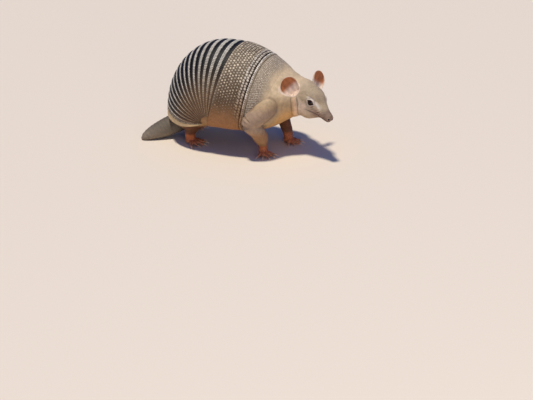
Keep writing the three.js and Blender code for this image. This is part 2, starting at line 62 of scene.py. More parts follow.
BODY_REAR = 138
BODY_REAR_POWER = 2.05  # 2 is a round curve, and more is squarer
BODY_POWER = 2.2
BODY_STATIONS = [  # x, half width, back, widest level, belly
    (-138, 106, 227, 60, 8),
    (-75, 106, 227, 66, 13),
    (-35, 106, 227, 76, 33),
    (0, 106, 227, 84, 44),
    (50, 105, 223, 86, 43),
    (95, 96, 205, 92, 47),
    (125, 82, 185.5, 102, 58),
    (150, 62, 167, 114, 74),
    (172, 42, 154, 124, 94),
]
SHELL_THICKNESS = 2.4
HUB_REACH = (20.0, 260.0)  # the surface lies between these distances from a hub under the back
HUB_HALVINGS = 20
SKIN_DEPTH = 5.0  # the skin lies this far under the shell's outer face
BARE_DEPTH = 0.6  # and this far under the same form where it is bare

BAND_COUNT = 16
BAND_HUB = (-2, 70)
BAND_LAP = 0.9  # how far a band's front edge dips under the next one
BAND_END = 81
BAND_FIRST = (-5, -24)  # on the back line, on the flank
BAND_LAST = 103
SHIELD_END = 97
COLLAR_ANGLE = 100
COLLAR_FRONT_X = 77
COLLAR_WIDTH = 9
COLLAR_RISE = 0.8
SHOULDER_END = 76
SHOULDER_FRONT = (118, 96, 108, 64)  # x, z, angle, end
PLATE_GAP = 0.25
ONE_ROW = 100.0  # a pitch of rows so wide that a string of scutes stays single
INNER_ROWS = 3  # rows of points of a plate's inner face
DOT_WANDER = 0.22  # how far a scute lies off its place in the rows, as a part of their pitch
BAND_TOOTH = 3.7  # from one scute of a band's margin to the next

HEAD_NOSE = (255.3, -50, 98.2)
HEAD_PITCH = 24  # degrees nose down
HEAD_YAW = 30.5  # degrees to the animal's right
HEAD_STATIONS = [  # behind the nose, half width, up, down
    (111, 16.5, 11, 20),
    (101.5, 24.5, 18, 34),
    (88.5, 28.2, 22, 43),
    (73.5, 28.6, 25.6, 46.5),
    (58.2, 25.5, 27.2, 43),
    (45, 20, 23.4, 31.7),
    (32, 14.8, 17.4, 19.8),
    (19.2, 11.3, 11.8, 12.2),
    (7.9, 9.6, 9.4, 9.6),
    (3, 8.6, 8.4, 8.4),
]
HEAD_POWER = 2.1

# Places on the head count from the nose, +X forwards and +Z up along it. SIDES mirrors those off its middle.
SIDES = (-1, 1)  # the animal's right and left
CAP_HEIGHT = 1.0  # the cap's face over the skin
CAP_CLOSING = 0.4
CAP_REAR = (2.5, 58)  # place along the head's stations, angle down each side
CAP_FRONT = (6.3, 34)
EYE_RADIUS = 7.0
EYE_PLACE = (-50.8, 15.6, 9.4)
EYE_OPENING = (6.6, 5.1, 4.5)  # half length, rise of the upper lid, fall of the lower lid
EYE_LOOK = (0.36, 1, 0.26)
EYE_SLANT = -0.12  # fall of the opening towards its front corner
LID_THICKNESS = 1.1
NOSTRIL_PLACE = (0.6, 4.6, 0.4)
NOSTRIL_SIZE = (2.2, 1.1, 1.35)
EAR_PLACE = (-87, 28.5, 3)
EAR_SIZE = (43, 21.5, 12, 1.8)  # height, half width, depth, thickness
EAR_SPREAD = 75
EAR_FLOOR = 7  # the hollow closes below this height
EAR_MOUTH = 9  # how far the hollow opens ahead of the ear's foot
EAR_TILT = 29  # degrees outwards
EAR_LEAN = 25  # degrees backwards
EAR_TURN = 20  # degrees that the hollow turns outwards
MOUTH_LEVEL = -5.2
HEAD_SPLIT = -99  # the skin's faces ahead of this place on the head are split once
MUZZLE_SPLIT = -32  # and ahead of this one twice
EYE_SPLITS = ((15, 2), (9.6, 3))  # reach from an eye's middle, and how often the faces within it are split

NECK_STATIONS = [  # x, y, z, half width, up, down
    (118, 0, 124, 60, 48, 48),
    (148, -1, 127, 57.5, 39, 50),
    (164, -2, 132, 40, 31, 46),
    (177, -5, 136, 30, 27.5, 40),
    (190, -11, 135, 24, 23, 30),
]
TAIL_STATIONS = [  # as for the neck
    (-100, 0, 36, 22, 18, 18),
    (-122, -15, 28, 25, 22, 20),
    (-142, -35, 19.5, 22.5, 20.5, 18),
    (-158, -52, 12.5, 18, 16.5, 12.3),
    (-169, -64, 8, 12, 10.5, 7.9),
    (-175, -71, 4.6, 5.5, 5, 4.5),
]
PALM_REACH = 7.8
PALM_STATIONS = [(-1, 0.75), (0, 1), (1, 1)]  # reach along the foot, scale
PALM_SIZE = (7, 10.3, 6, 8)  # level, half width, up, down
TOE_COUNT = 5
TOE_FAN = 104
TOE_SIZE = (3.9, 2.45, 7.3, 3.15)  # base radius, tip radius, level at the knuckle, level at the tip
TOE_SHORTER = 0.12  # loss of length for each toe away from the middle one
CLAW_LENGTH = 11
CLAW_RADIUS = 2.6
FOOT_TOP = 22
FEET_SPLIT = 24  # the skin's faces of the feet below this height are split once
JAW_CREASE = 3.5  # how far behind the meeting of head and neck the crease lies
FORWARD = (1, 0, 0)
UP = (0, 0, 1)
LEGS = [  # foot, heading, toe length, stations of x, y, z, radius
    ("forefoot_right", -44, 20, [(121, -70, 114, 21), (110, -88, 99, 21), (95, -97, 82, 18.5),
                                 (105, -86, 63, 15.5), (108, -70, 44, 15.5), (107, -59, 27, 9.8),
                                 (107, -55, 12, 8.8)]),
    ("forefoot_left", -14, 21, [(126, 58, 116, 24), (112, 76, 94, 21), (100, 80, 70, 17),
                                (108, 60, 46, 14), (123, 44, 26, 11.5), (127, 40, 10, 9.5)]),
    ("hindfoot_right", -8, 26, [(-46, -56, 80, 26), (-52, -58, 60, 22), (-62, -56, 42, 16),
                                (-69, -51, 24, 11.5), (-69, -49, 10, 10)]),
    ("hindfoot_left", 18, 26, [(-66, 48, 80, 26), (-80, 48, 58, 21), (-100, 45, 40, 15),
                               (-115, 41, 24, 11.5), (-117, 40, 10, 10)]),
]
TRUNK_FRONT = 150
LEG_JOINT = 4.5  # size of the soft joint between a leg and the body

SKIN_STEP = 2.45
SKIN_BOX = ((-193.0, -116.0, -4.0), (268.0, 110.0, 226.0))
HIDDEN_SHARE = 0.25  # of the faces under the shell, once they are thinned out
HIDDEN_ANGLES = (-8, 95)  # of the bands at their hub, from the rear up
HIDDEN_AROUND = 72  # degrees down each side
HIDDEN_FRONT = 8  # the bands' part ends here
HIDDEN_SHIELD = (0, 78, 76)  # the shields' part: from x, to x, above this height

CAMERA_FROM_BACK = (0.9646, -2.0687, 0.8236)  # metres from the origin of the animal's own frame
CAMERA_AZIMUTH = 22.883
CAMERA_DROP = 22.988
CAMERA_LENS = 73.7
LIGHT_AIM = 0.1  # how far over the floor the lights point

# ---------------------------------------------------------------- numbers and noise


def smoothstep(low, high, value):
    part = np.clip((np.asarray(value, float) - low) / (high - low), 0, 1)
    return part * part * (3 - 2 * part)


def hill(value, centre, width):
    return np.exp(-(((np.asarray(value, float) - centre) / width) ** 2))


def lerp(a, b, t):
    return a + (b - a) * t


def blend(a, b, t):
    """Colours or points a and b mixed by a share for each row."""
    return a + (b - a) * np.asarray(t)[..., None]


def unit(vectors):
    return vectors / np.maximum(np.linalg.norm(vectors, axis=-1, keepdims=True), 1e-9)


def dome(reach, radius):
    """Height from 0 to 1 of a round scute at a reach from its middle."""
    return np.sqrt(np.maximum(1 - (reach / radius) ** 2, 0))


def scatter(cells, seed):
    """Three steady random numbers from 0 to 1 for each row of whole numbers."""
    h = (cells * np.array([127.1, 311.7, 74.7])).sum(-1) + seed * 17.13
    return np.stack([np.modf(np.abs(np.sin(h + k * 57.31) * 43758.5453))[0] for k in range(3)], -1)


def noise(points, size, seed=0):
    """Smooth value noise from -1 to 1 with bumps about size across."""
    p = points / size
    base = np.floor(p)
    part = p - base
    part = part * part * (3 - 2 * part)
    total = 0
    for corner in np.ndindex(2, 2, 2):
        weight = np.prod(np.where(corner, part, 1 - part), axis=-1)
        total = total + weight * scatter(base + corner, seed)[..., 0]
    return total * 2 - 1


def cell_distances(points, size, seed=0, jitter=0.7):
    """Distances to the nearest and the next nearest of scattered centres about size apart."""
    p = points / size
    base = np.floor(p)
    near = np.full(p.shape[:-1], 9.0)
    second = near.copy()
    for step in np.ndindex(3, 3, 3):
        cell = base + np.array(step) - 1
        centre = cell + 0.5 + (scatter(cell, seed) - 0.5) * jitter
        d = np.linalg.norm(centre - p, axis=-1)
        second = np.minimum(second, np.maximum(near, d))
        near = np.minimum(near, d)
    return near * size, second * size


class Smooth:
    """A smooth curve through rows of values at rising places, held level past both ends."""

    def __init__(self, places, rows):
        self.places = np.asarray(places, float)
        self.rows = np.asarray(rows, float)

    def __call__(self, t):
        places, rows = self.places, self.rows
        t = np.clip(t, places[0], places[-1])
        last = len(places) - 1
        i1 = np.clip(np.searchsorted(places, t, side="right"), 1, last)
        i0 = i1 - 1
        before = np.where(i1 >= 2, i1 - 2, i1)
        after = np.where(i1 < last, i1 + 1, i0)
        t0, t1 = places[i0], places[i1]
        weight_before = (t1 - t0) / 2 / (t0 - places[before])
        weight_after = (t1 - t0) / 2 / (places[after] - t1)
        p = (t - t0) / (t1 - t0)
        p2, p3 = p * p, p * p * p
        shares = (
            -weight_before * (p3 - 2 * p2 + p),
            (1 + weight_before) * p3 - (1.5 + 2 * weight_before) * p2 - (0.5 - weight_before) * p + 1,
            -(1 + weight_after) * p3 + (1.5 + weight_after) * p2 + 0.5 * p,
            weight_after * (p3 - p2),
        )
        return sum(share[..., None] * rows[i] for share, i in zip(shares, (before, i0, i1, after)))


# ---------------------------------------------------------------- the body's outer form

body_profile = Smooth([s[0] for s in BODY_STATIONS], [s[1:] for s in BODY_STATIONS])


def body_share(points, depth):
    """1 on the body's surface moved in by depth, less inside it."""
    x, y, z = points[..., 0], points[..., 1], points[..., 2]
    half_width, top, middle, bottom = np.moveaxis(body_profile(x), -1, 0)
    rise = z - middle
    height = np.where(rise > 0, top - middle, middle - bottom) - depth
    section = (np.abs(y) / (half_width - depth)) ** BODY_POWER + (np.abs(rise) / height) ** BODY_POWER
    rear = np.maximum(-x, 0) / (BODY_REAR - depth)
    return (section ** (BODY_REAR_POWER / BODY_POWER) + rear**BODY_REAR_POWER) ** (1 / BODY_REAR_POWER)


def surface_points(hub_x, hub_z, angle, around, depth):
    """Where lines from hubs under the back, turned down to the flanks, meet the body's surface."""
    way = np.stack([
        -np.cos(angle) * np.cos(around), np.sin(around), np.sin(angle) * np.cos(around),
    ], -1)
    hub = np.stack([hub_x, np.zeros_like(hub_x), hub_z], -1)
    near, far = (np.full(around.shape, reach) for reach in HUB_REACH)
    for _ in range(HUB_HALVINGS):
        middle = (near + far) / 2
        inside = body_share(hub + way * middle[..., None], depth) < 1
        near = np.where(inside, middle, near)
        far = np.where(inside, far, middle)
    return hub + way * near[..., None]


# ---------------------------------------------------------------- meshes


def set_points(mesh, points):
    """Moves a mesh's points to places in millimetres in the animal's frame."""
    placed = np.asarray(points, float) * MM + np.array(ORIGIN)
    mesh.vertices.foreach_set("co", placed.astype(np.float32).ravel())


def set_colour(mesh, colour):
    layer = mesh.color_attributes.new(name="Tint", type="FLOAT_COLOR", domain="POINT")
    rgba = np.ones((len(mesh.vertices), 4), np.float32)
    rgba[:, :3] = colour
    layer.data.foreach_set("color", rgba.ravel())


def new_mesh(name, points, faces, colour=None, uv=None):
    """An object from points in millimetres and arrays of faces, coloured by point, with UVs by corner."""
    sizes = np.concatenate([np.full(len(f), f.shape[1]) for f in faces])
    corners = np.concatenate([f.ravel() for f in faces]).astype(np.int32)
    mesh = bpy.data.meshes.new(name)
    mesh.vertices.add(len(points))
    set_points(mesh, points)
    mesh.loops.add(len(corners))
    mesh.loops.foreach_set("vertex_index", corners)
    mesh.polygons.add(len(sizes))
    mesh.polygons.foreach_set("loop_start", (np.cumsum(sizes) - sizes).astype(np.int32))
    mesh.update(calc_edges=True)
    mesh.validate()
    mesh.shade_smooth()
    if colour is not None:
        set_colour(mesh, colour)
    if uv is not None:
        layer = mesh.uv_layers.new(name="OFBake")
        layer.uv.foreach_set("vector", np.asarray(uv, np.float32).ravel())
    piece = bpy.data.objects.new(name, mesh)
    bpy.context.scene.collection.objects.link(piece)
    return piece


def tone(red, green, blue):
    """A colour as seen on a screen, from 0 to 255, as linear light."""
    return (np.array([red, green, blue]) / 255) ** 2.2


SHOULDER_TONE = tone(208, 182, 145)
SHOULDER_LOW_TONE = tone(178, 148, 110)
EAR_LOW_TONE = tone(224, 200, 178)
LEG_TONES_WITH_PAINTED_SHADE = (  # upper and lower part of each leg, from the near foreleg to the far hind leg; each leg's own tone, made darker for the hind and far legs as painted shade
    ((168, 140, 114), (152, 112, 76)),
    ((150, 112, 76), (118, 76, 50)),
    ((112, 74, 48), (100, 62, 40)),
    ((78, 52, 36), (72, 46, 32)),
)


def shoulder_tone(z):
    """The tone of the smooth skin of shoulders and neck by its height."""
    return blend(SHOULDER_LOW_TONE, SHOULDER_TONE, smoothstep(114, 148, z))


def grid_faces(rows, columns, close_rows=False, close_columns=False):
    """Quads of a grid of points stored row by row."""
    r = np.arange(rows if close_rows else rows - 1)
    c = np.arange(columns if close_columns else columns - 1)
    r, c = np.meshgrid(r, c, indexing="ij")
    low, high = r * columns, (r + 1) % rows * columns
    right = (c + 1) % columns
    return np.stack([low + c, low + right, high + right, high + c], -1).reshape(-1, 4)


def grid_normals(points):
    """Unit normals of a grid of points, to the left of the rows' way across."""
    along, across = np.gradient(points, axis=(0, 1))
    return unit(np.cross(along, across))


# ---------------------------------------------------------------- shell plates


def plate_mesh(name, outer, inner, outer_colour, shaded_inner_colour):
    """A closed plate from the grids of its outer and inner faces, the inner one's rows in turned order."""
    rows, columns = outer.shape[:2]
    total = rows + len(inner)
    ring = np.arange(total) * columns
    faces = [
        grid_faces(total, columns, close_rows=True)[:, ::-1],
        ring[None, :],
        (ring + columns - 1)[None, ::-1],
    ]
    row_place = np.concatenate([np.linspace(0, 0.9, rows), np.linspace(0.92, 0.98, len(inner))])
    lay = np.stack(np.meshgrid(row_place, np.linspace(0.01, 0.99, columns), indexing="ij"), -1)
    lay = lay.reshape(-1, 2)[:, ::-1]
    uv = np.concatenate([lay[f.ravel()] for f in faces])
    points = np.concatenate([outer, inner]).reshape(-1, 3)
    colour = np.concatenate([outer_colour, shaded_inner_colour]).reshape(-1, 3)
    return new_mesh(name, points, faces, colour, uv)


def plate_edge(x, z, back, flank, end):
    return {"x": x, "z": z, "back": np.radians(back), "flank": np.radians(flank), "end": np.radians(end)}


def edge_points(edge, part, depth, shift):
    around = lerp(-edge["end"], edge["end"], part)
    angle = lerp(edge["back"], edge["flank"], np.sin(around) ** 2)
    hub_x = edge["x"] + shift * np.sin(angle)
    hub_z = edge["z"] + shift * np.cos(angle)
    return surface_points(hub_x, hub_z, angle, around, depth)


def band_edge(number):
    part = number / BAND_COUNT
    back, flank = (lerp(first, BAND_LAST, part) for first in BAND_FIRST)
    level = 0 * part
    return plate_edge(BAND_HUB[0] + level, BAND_HUB[1] + level, back, flank, BAND_END + level)


def middle_edge(x):
    part = (x - BAND_HUB[0]) / (COLLAR_FRONT_X - BAND_HUB[0])
    angle = lerp(BAND_LAST, COLLAR_ANGLE, part)
    return plate_edge(x, BAND_HUB[1] + 0 * x, angle, angle, SHIELD_END + 0 * x)


def shoulder_edge(part):
    behind = (COLLAR_FRONT_X, BAND_HUB[1], COLLAR_ANGLE, SHOULDER_END)
    x, z, angle, end = (lerp(first, last, part) for first, last in zip(behind, SHOULDER_FRONT))
    return plate_edge(x, z, angle, angle, end)


class PlateGrid:
    """The outer face of a plate: rows from the tail side to the head side, columns from right to left."""

    def __init__(self, edge_at, first, last, rows, columns, depth=lambda v: 0 * v):
        v = np.linspace(0, 1, rows)
        u = np.linspace(0, 1, columns)
        self.v, self.u = np.meshgrid(v, u, indexing="ij")
        edge = edge_at(lerp(first, last, self.v))
        shift = lerp(PLATE_GAP, -PLATE_GAP, self.v)
        self.edge, self.shift = edge, shift
        self.base = edge_points(edge, self.u, depth(self.v), shift)
        self.normal = grid_normals(self.base)
        across = np.linalg.norm(np.diff(self.base, axis=1), axis=-1)
        along = np.linalg.norm(np.diff(self.base, axis=0), axis=-1)
        self.across = np.concatenate([np.zeros((rows, 1)), np.cumsum(across, 1)], 1)
        self.across -= self.across[:, -1:] / 2  # millimetres from the back line
        self.along = np.concatenate([np.zeros((1, columns)), np.cumsum(along, 0)], 0)
        self.width = self.along[-1:] + 0 * self.along
        self.around = np.degrees(lerp(-edge["end"], edge["end"], self.u))

    def piece(self, name, relief, colour):
        rows = len(self.u)
        outer = self.base + self.normal * relief[..., None]
        pick = np.linspace(rows - 1, 0, INNER_ROWS).round().astype(int)
        edge = {k: (w[pick] if np.ndim(w) else w) for k, w in self.edge.items()}
        inner = edge_points(edge, self.u[pick], SHELL_THICKNESS, self.shift[pick])
        # painted shade: the inner face takes the outer colour at half strength
        return plate_mesh(name, outer, inner, colour, colour[pick] * 0.5)


def rounded_rims(grid, size, drop, rear=True, front=True):
    """How far a plate's outer face falls near its rims."""
    fall = rear * smoothstep(size, 0, grid.along) ** 2
    fall = fall + front * smoothstep(size, 0, grid.width - grid.along) ** 2
    reach = np.radians(np.abs(grid.around))
    hem = (grid.edge["end"] - reach) * 100
    fall = np.maximum(fall, smoothstep(size, 0, hem) ** 2)
    return -drop * np.minimum(fall, 1)


# ---------------------------------------------------------------- head, neck, tail and legs

HEAD_TURN = Euler((0, math.radians(HEAD_PITCH), -math.radians(HEAD_YAW)), "XYZ").to_matrix()


def to_head(points):
    """The head's own frame: the nose at 0, +X forwards, +Z up."""
    return (np.asarray(points, float) - HEAD_NOSE) @ np.array(HEAD_TURN)


def from_head(points):
    return np.asarray(points, float) @ np.array(HEAD_TURN).T + HEAD_NOSE


def sided(point, side):
    """A place on the animal's left, or its mirror image on the right."""
    return np.array(point, float) * [1, side, 1]


def soft_union(a, b, size):
    share = np.maximum(size - np.abs(a - b), 0) / size
    return np.minimum(a, b) - share * share * size / 4


class Loft:
    """A limb of smoothed oval sections along a curve; calling it gives distances from its surface."""

    def __init__(self, stations, hint=UP, ends=(1, 1), pieces=14, power=2.0):
        curve = Smooth(range(len(stations)), stations)
        last = len(stations) - 1
        places = np.linspace(0, last, pieces + 1)
        rows = curve(places)
        self.centre, self.size = rows[:, :3], rows[:, 3:]
        ahead, behind = curve(np.minimum(places + 0.01, last)), curve(np.maximum(places - 0.01, 0))
        tangent = unit(ahead[:, :3] - behind[:, :3])
        self.across = unit(np.cross(np.array(hint, float), tangent))
        self.upward = np.cross(tangent, self.across)
        self.tangent = tangent
        self.ends = ends
        self.power = power
        reach = self.size.max() * 1.05
        self.low = self.centre.min(0) - reach
        self.high = self.centre.max(0) + reach

    def beside(self, points, margin):
        """True for the points in the loft's box grown by a margin."""
        return np.all((points > self.low - margin) & (points < self.high + margin), axis=-1)

    def __call__(self, points):
        best = np.full(len(points), 1e3)
        for i in range(len(self.centre) - 1):
            step = self.centre[i + 1] - self.centre[i]
            offset = points - self.centre[i]
            t = np.clip(offset @ step / (step @ step), 0, 1)
            offset = offset - t[:, None] * step
            size = lerp(self.size[i], self.size[i + 1], t[:, None])
            side = (offset * lerp(self.across[i], self.across[i + 1], t[:, None])).sum(-1)
            rise = (offset * lerp(self.upward[i], self.upward[i + 1], t[:, None])).sum(-1)
            ahead = (offset * lerp(self.tangent[i], self.tangent[i + 1], t[:, None])).sum(-1)
            height = np.where(rise > 0, size[:, 1], size[:, 2])
            ratio = (np.abs(side) / size[:, 0]) ** self.power + (np.abs(rise) / height) ** self.power
            end = np.where(ahead > 0, self.ends[1], self.ends[0]) * np.minimum(size[:, 0], size[:, 1])
            ratio = np.sqrt(ratio ** (2 / self.power) + (ahead / end) ** 2)
            length = np.linalg.norm(offset, axis=-1) + 1e-6
            best = np.minimum(best, length * (1 - 1 / np.maximum(ratio, 1e-6)))
        return best


def tube(points, **options):
    return Loft([(x, y, z, r, r, r) for x, y, z, r in points], **options)


def toe_heading(leg, number):
    return math.radians(leg[1] + TOE_FAN * (number / (TOE_COUNT - 1) - 0.5))


def toe_tip(leg, number):
    x, y = leg[3][-1][:2]
    length = leg[2] * (1 - TOE_SHORTER * abs(number - (TOE_COUNT - 1) / 2))
    heading = toe_heading(leg, number)
    reach = PALM_REACH + length
    return np.array([x + reach * math.cos(heading), y + reach * math.sin(heading), TOE_SIZE[3]])


def toe_loft(leg, number):
    base_radius, tip_radius, knuckle, _ = TOE_SIZE
    base = np.array([*leg[3][-1][:2], 0])
    tip = toe_tip(leg, number)

    def along(part, level, radius):
        return (*lerp(base, tip, part)[:2], level, radius)

    return tube([
        along(0.15, knuckle, base_radius),
        along(0.42, knuckle * 0.92, base_radius * 0.9),
        along(0.6, knuckle * 0.84, base_radius * 0.98),
        along(0.82, knuckle * 0.58, base_radius * 0.74),
        along(1, TOE_SIZE[3], tip_radius),
    ], ends=(0.5, 0.5), pieces=8)


def palm_loft(leg):
    heading = math.radians(leg[1])
    x, y = leg[3][-1][:2]
    level, half_width, up, down = PALM_SIZE
    return Loft([
        (x + r * PALM_REACH * math.cos(heading), y + r * PALM_REACH * math.sin(heading), level,
         half_width * scale, up * scale, down)
        for r, scale in PALM_STATIONS
    ], ends=(0.8, 0.8), pieces=4)


head_loft = Loft([(-b, 0, 0, w, u, d) for b, w, u, d in HEAD_STATIONS], ends=(1, 0.5), pieces=36,
                 power=HEAD_POWER)
neck_loft = Loft(NECK_STATIONS, pieces=14)
tail_loft = Loft(TAIL_STATIONS, pieces=20)
leg_lofts = [tube(leg[3], hint=FORWARD, ends=(1, 0.3), pieces=18) for leg in LEGS]
palm_lofts = [palm_loft(leg) for leg in LEGS]
toe_lofts = [[toe_loft(leg, number) for number in range(TOE_COUNT)] for leg in LEGS]
foot_lofts = palm_lofts + [loft for toes in toe_lofts for loft in toes]


def body_distance(points, depth):
    middle = body_profile(points[..., 0])[..., 2]
    share = body_share(points, depth)
    offset = np.stack([np.minimum(points[..., 0], 0), points[..., 1], points[..., 2] - middle], -1)
    return (np.linalg.norm(offset, axis=-1) + 1e-6) * (1 - 1 / np.maximum(share, 1e-6))


def ear_turn(side):
    """From an ear's own frame, +X out of its hollow and +Z up it, to the head's."""
    tilt = Euler((-side * math.radians(EAR_TILT), 0, 0)).to_matrix()
    lean = Euler((0, -math.radians(HEAD_PITCH + EAR_LEAN), 0)).to_matrix()
    opened = Euler((0, 0, side * math.radians(EAR_TURN))).to_matrix()
    return np.array(lean @ tilt @ opened)


def ear_cup(part):
    """Half width and depth of an ear's cup at a part of its height."""
    _, half_width, depth, _ = EAR_SIZE
    leaf = np.sin(math.pi * (0.08 + 0.56 * part)) ** 1.2
    closing = np.sqrt(np.maximum(1 - part**4, 0.0004))
    return half_width * lerp(0.34, 1, leaf) * closing, depth * lerp(0.9, 0.45, part) * closing


def ear_hollow(h, side):
    """Distances outside the hollow of an ear, for points in the head's frame."""
    at = (h - sided(EAR_PLACE, side)) @ ear_turn(side)
    width, depth = ear_cup(np.clip(at[..., 2] / EAR_SIZE[0], 0, 0.9))
    reach = np.where(at[..., 0] < 0, depth + 0.5, EAR_MOUTH)
    floor = np.maximum(EAR_FLOOR - at[..., 2], 0) / EAR_FLOOR * 1.15
    ratio = np.sqrt((at[..., 0] / reach) ** 2 + (at[..., 1] / (width + 0.4)) ** 2 + floor**2)
    return (ratio - 1) * np.minimum(reach, width)


def merge(field, points, loft, size, margin=14.0, change=None):
    """Adds a loft to a field of distances at points, with a soft joint of the given size."""
    at = points if change is None else change(points)
    near = loft.beside(at, margin)
    field[near] = soft_union(field[near], loft(at[near]), size)


def ahead_of_shoulder(points):
    """Millimetres ahead of the plane of the shoulder shield's front edge."""
    x, z, angle, _ = SHOULDER_FRONT
    tilt = math.radians(angle)
    return (points[..., 0] - x) * math.sin(tilt) + (points[..., 2] - z) * math.cos(tilt)


def flesh(points):
    """Distances from the surface of the whole animal's flesh without its shell."""
    cover = smoothstep(-10, -18, ahead_of_shoulder(points))
    field = body_distance(points, lerp(BARE_DEPTH, SKIN_DEPTH, cover))
    field = np.maximum(field, points[..., 0] - TRUNK_FRONT)
    merge(field, points, neck_loft, 10)
    merge(field, points, head_loft, 7, change=to_head)
    h = to_head(points)
    for side in SIDES:
        field = -soft_union(-field, ear_hollow(h, side), 1.5)
    merge(field, points, tail_loft, 6)
    for leg_loft, palm, toes in zip(leg_lofts, palm_lofts, toe_lofts):
        foot = np.full(len(points), 1e3)
        merge(foot, points, palm, 1)
        for toe in toes:
            merge(foot, points, toe, 1.2)
        merge(foot, points, leg_loft, 5)
        field = soft_union(field, foot, LEG_JOINT)
    return -soft_union(-field, points[..., 2], 1.5)


def skin_grid():
    """Quads round every cell edge that crosses the flesh's surface, and one point for each crossed cell."""
    low, high = np.array(SKIN_BOX)
    counts = np.ceil((high - low) / SKIN_STEP).astype(int) + 1
    axes = [low[k] + SKIN_STEP * np.arange(counts[k]) for k in range(3)]
    field = np.empty(counts)
    for i, x in enumerate(axes[0]):
        y, z = np.meshgrid(axes[1], axes[2], indexing="ij")
        slab = np.stack([np.full(y.size, x), y.ravel(), z.ravel()], -1)
        field[i] = flesh(slab).reshape(y.shape)
    cells = np.zeros(np.array(counts) - 1, bool)
    total = np.zeros((*cells.shape, 3))
    hits = np.zeros(cells.shape)
    quads = []
    number = np.arange(cells.size).reshape(cells.shape)
    for axis in range(3):
        first = np.take(field, np.arange(counts[axis] - 1), axis)
        second = np.take(field, np.arange(1, counts[axis]), axis)
        crossed = (first < 0) != (second < 0)
        part = np.where(crossed, first / np.where(crossed, first - second, 1), 0)
        others = [k for k in range(3) if k != axis]
        index = np.argwhere(crossed)
        where = index.astype(float)
        where[:, axis] += part[crossed]
        keep = np.all([(index[:, k] > 0) & (index[:, k] < counts[k] - 1) for k in others], axis=0)
        index, where = index[keep], where[keep]
        downwards = second[tuple(index.T)] < 0
        ring = []
        for a, b in ((1, 1), (0, 1), (0, 0), (1, 0)):
            cell = index.copy()
            cell[:, others[0]] -= a
            cell[:, others[1]] -= b
            key = tuple(cell.T)
            np.add.at(total, key, where)
            np.add.at(hits, key, 1)
            ring.append(number[key])
        quad = np.stack(ring, -1)
        flip = downwards if axis != 1 else ~downwards
        quad[flip] = quad[flip][:, ::-1]
        quads.append(quad)
    quads = np.concatenate(quads)
    used, quads = np.unique(quads, return_inverse=True)
    points = (total.reshape(-1, 3)[used] / hits.ravel()[used][:, None]) * SKIN_STEP + low
    return points, quads.reshape(-1, 4)


def gradient(points, step=0.35):
    corners = np.array([(1, 1, 1), (1, -1, -1), (-1, 1, -1), (-1, -1, 1)], float)
    return unit(sum(c * flesh(points + c * step)[:, None] for c in corners))


def project(points, rounds=2):
    for _ in range(rounds):
        points = points - gradient(points) * np.clip(flesh(points), -1.5, 1.5)[:, None]
    return points


# ---------------------------------------------------------------- skin


def eye_frame(side):
    """Where an eye sits in the head's frame, and its axes: along the opening, up, outwards."""
    centre = sided(EYE_PLACE, side)
    out = unit(sided(EYE_LOOK, side))
    along = unit(np.cross(UP, out) * -side + np.array([0, 0, EYE_SLANT]))
    along = unit(along - out * (along @ out))
    rise = np.cross(out, along) * side
    return centre, along, rise, out


def eye_opening(v, frame_axes):
    """How far inside the almond opening of the lids points lie, in millimetres, and how far outwards."""
    _, along, rise, out = frame_axes
    half, up, down = EYE_OPENING
    a, r = v @ along, v @ rise
    arch = 1 - np.abs(a / half) ** 2.2
    return np.where(r > 0, up, down) * arch - np.abs(r), v @ out


def near_faces(centres):
    """How many times the skin's faces are split: more on the face and feet."""
    h = to_head(centres)
    level = np.zeros(len(centres), int)
    level[h[:, 0] > HEAD_SPLIT] = 1
    for loft in leg_lofts + foot_lofts:
        level[(centres[:, 2] < FEET_SPLIT) & (loft_weights(centres, loft, 3.0) > 0)] = 1
    for side in SIDES:
        reach = np.linalg.norm(h - eye_frame(side)[0], axis=-1)
        for limit, times in EYE_SPLITS:
            level[reach < limit] = times
    level[h[:, 0] > MUZZLE_SPLIT] = 2
    return level


def refined(points, quads):
    """The skin's mesh with the faces of the head and feet split and laid on the flesh's surface again."""
    mesh = new_mesh("skin", points, [quads]).data
    for level in (1, 2, 3):
        work = bmesh.new()
        work.from_mesh(mesh)
        work.faces.ensure_lookup_table()
        centres = np.array([f.calc_center_median() for f in work.faces])
        wanted = near_faces((centres - np.array(ORIGIN)) / MM) >= level
        edges = {e for f, w in zip(work.faces, wanted) if w for e in f.edges}
        bmesh.ops.subdivide_edges(work, edges=list(edges), cuts=1, use_grid_fill=True)
        work.to_mesh(mesh)
        work.free()
        co = np.empty(len(mesh.vertices) * 3, np.float32)
        mesh.vertices.foreach_get("co", co)
        points = (co.reshape(-1, 3).astype(float) - np.array(ORIGIN)) / MM
        points = project(points, 1)
        set_points(mesh, points)
    return bpy.data.objects["skin"], points


def loft_weights(points, loft, fade=8.0, change=None):
    """1 on a loft's surface falling to 0 at fade away from it."""
    at = points if change is None else change(points)
    weight = np.zeros(len(points))
    near = loft.beside(at, fade)
    weight[near] = 1 - smoothstep(0, fade, loft(at[near]))
    return weight


class SkinForm:
    """The skin's points, the share of each part of the body at them, and their relief and colours so far."""

    def __init__(self, points):
        self.points = points
        self.x, self.y, self.z = points.T
        self.h = to_head(points)
        self.hx, _, self.hz = self.h.T
        self.on_head = loft_weights(points, head_loft, 13, to_head)
        self.on_head *= smoothstep(-108, -84, self.hx + 0.3 * self.hz)
        self.on_tail = loft_weights(points, tail_loft, 8)
        self.on_legs = [loft_weights(points, loft, 9) for loft in leg_lofts]
        on_paws = self.on_legs + [loft_weights(points, loft, 6) for loft in foot_lofts]
        self.on_feet = smoothstep(FOOT_TOP + 8, FOOT_TOP - 3, self.z) * np.maximum.reduce(on_paws)
        self.raised = np.zeros(len(points))
        self.colour = np.zeros((len(points), 3))

    def wash(self, rgb, share):
        """Lays a tone over the colours by a share for each point."""
        self.colour = blend(self.colour, tone(*rgb), share)

    def light(self, change):
        """Lightens the colours by a part of themselves, or darkens them where it is below 0."""
        self.colour = self.colour * (1 + change)[:, None]


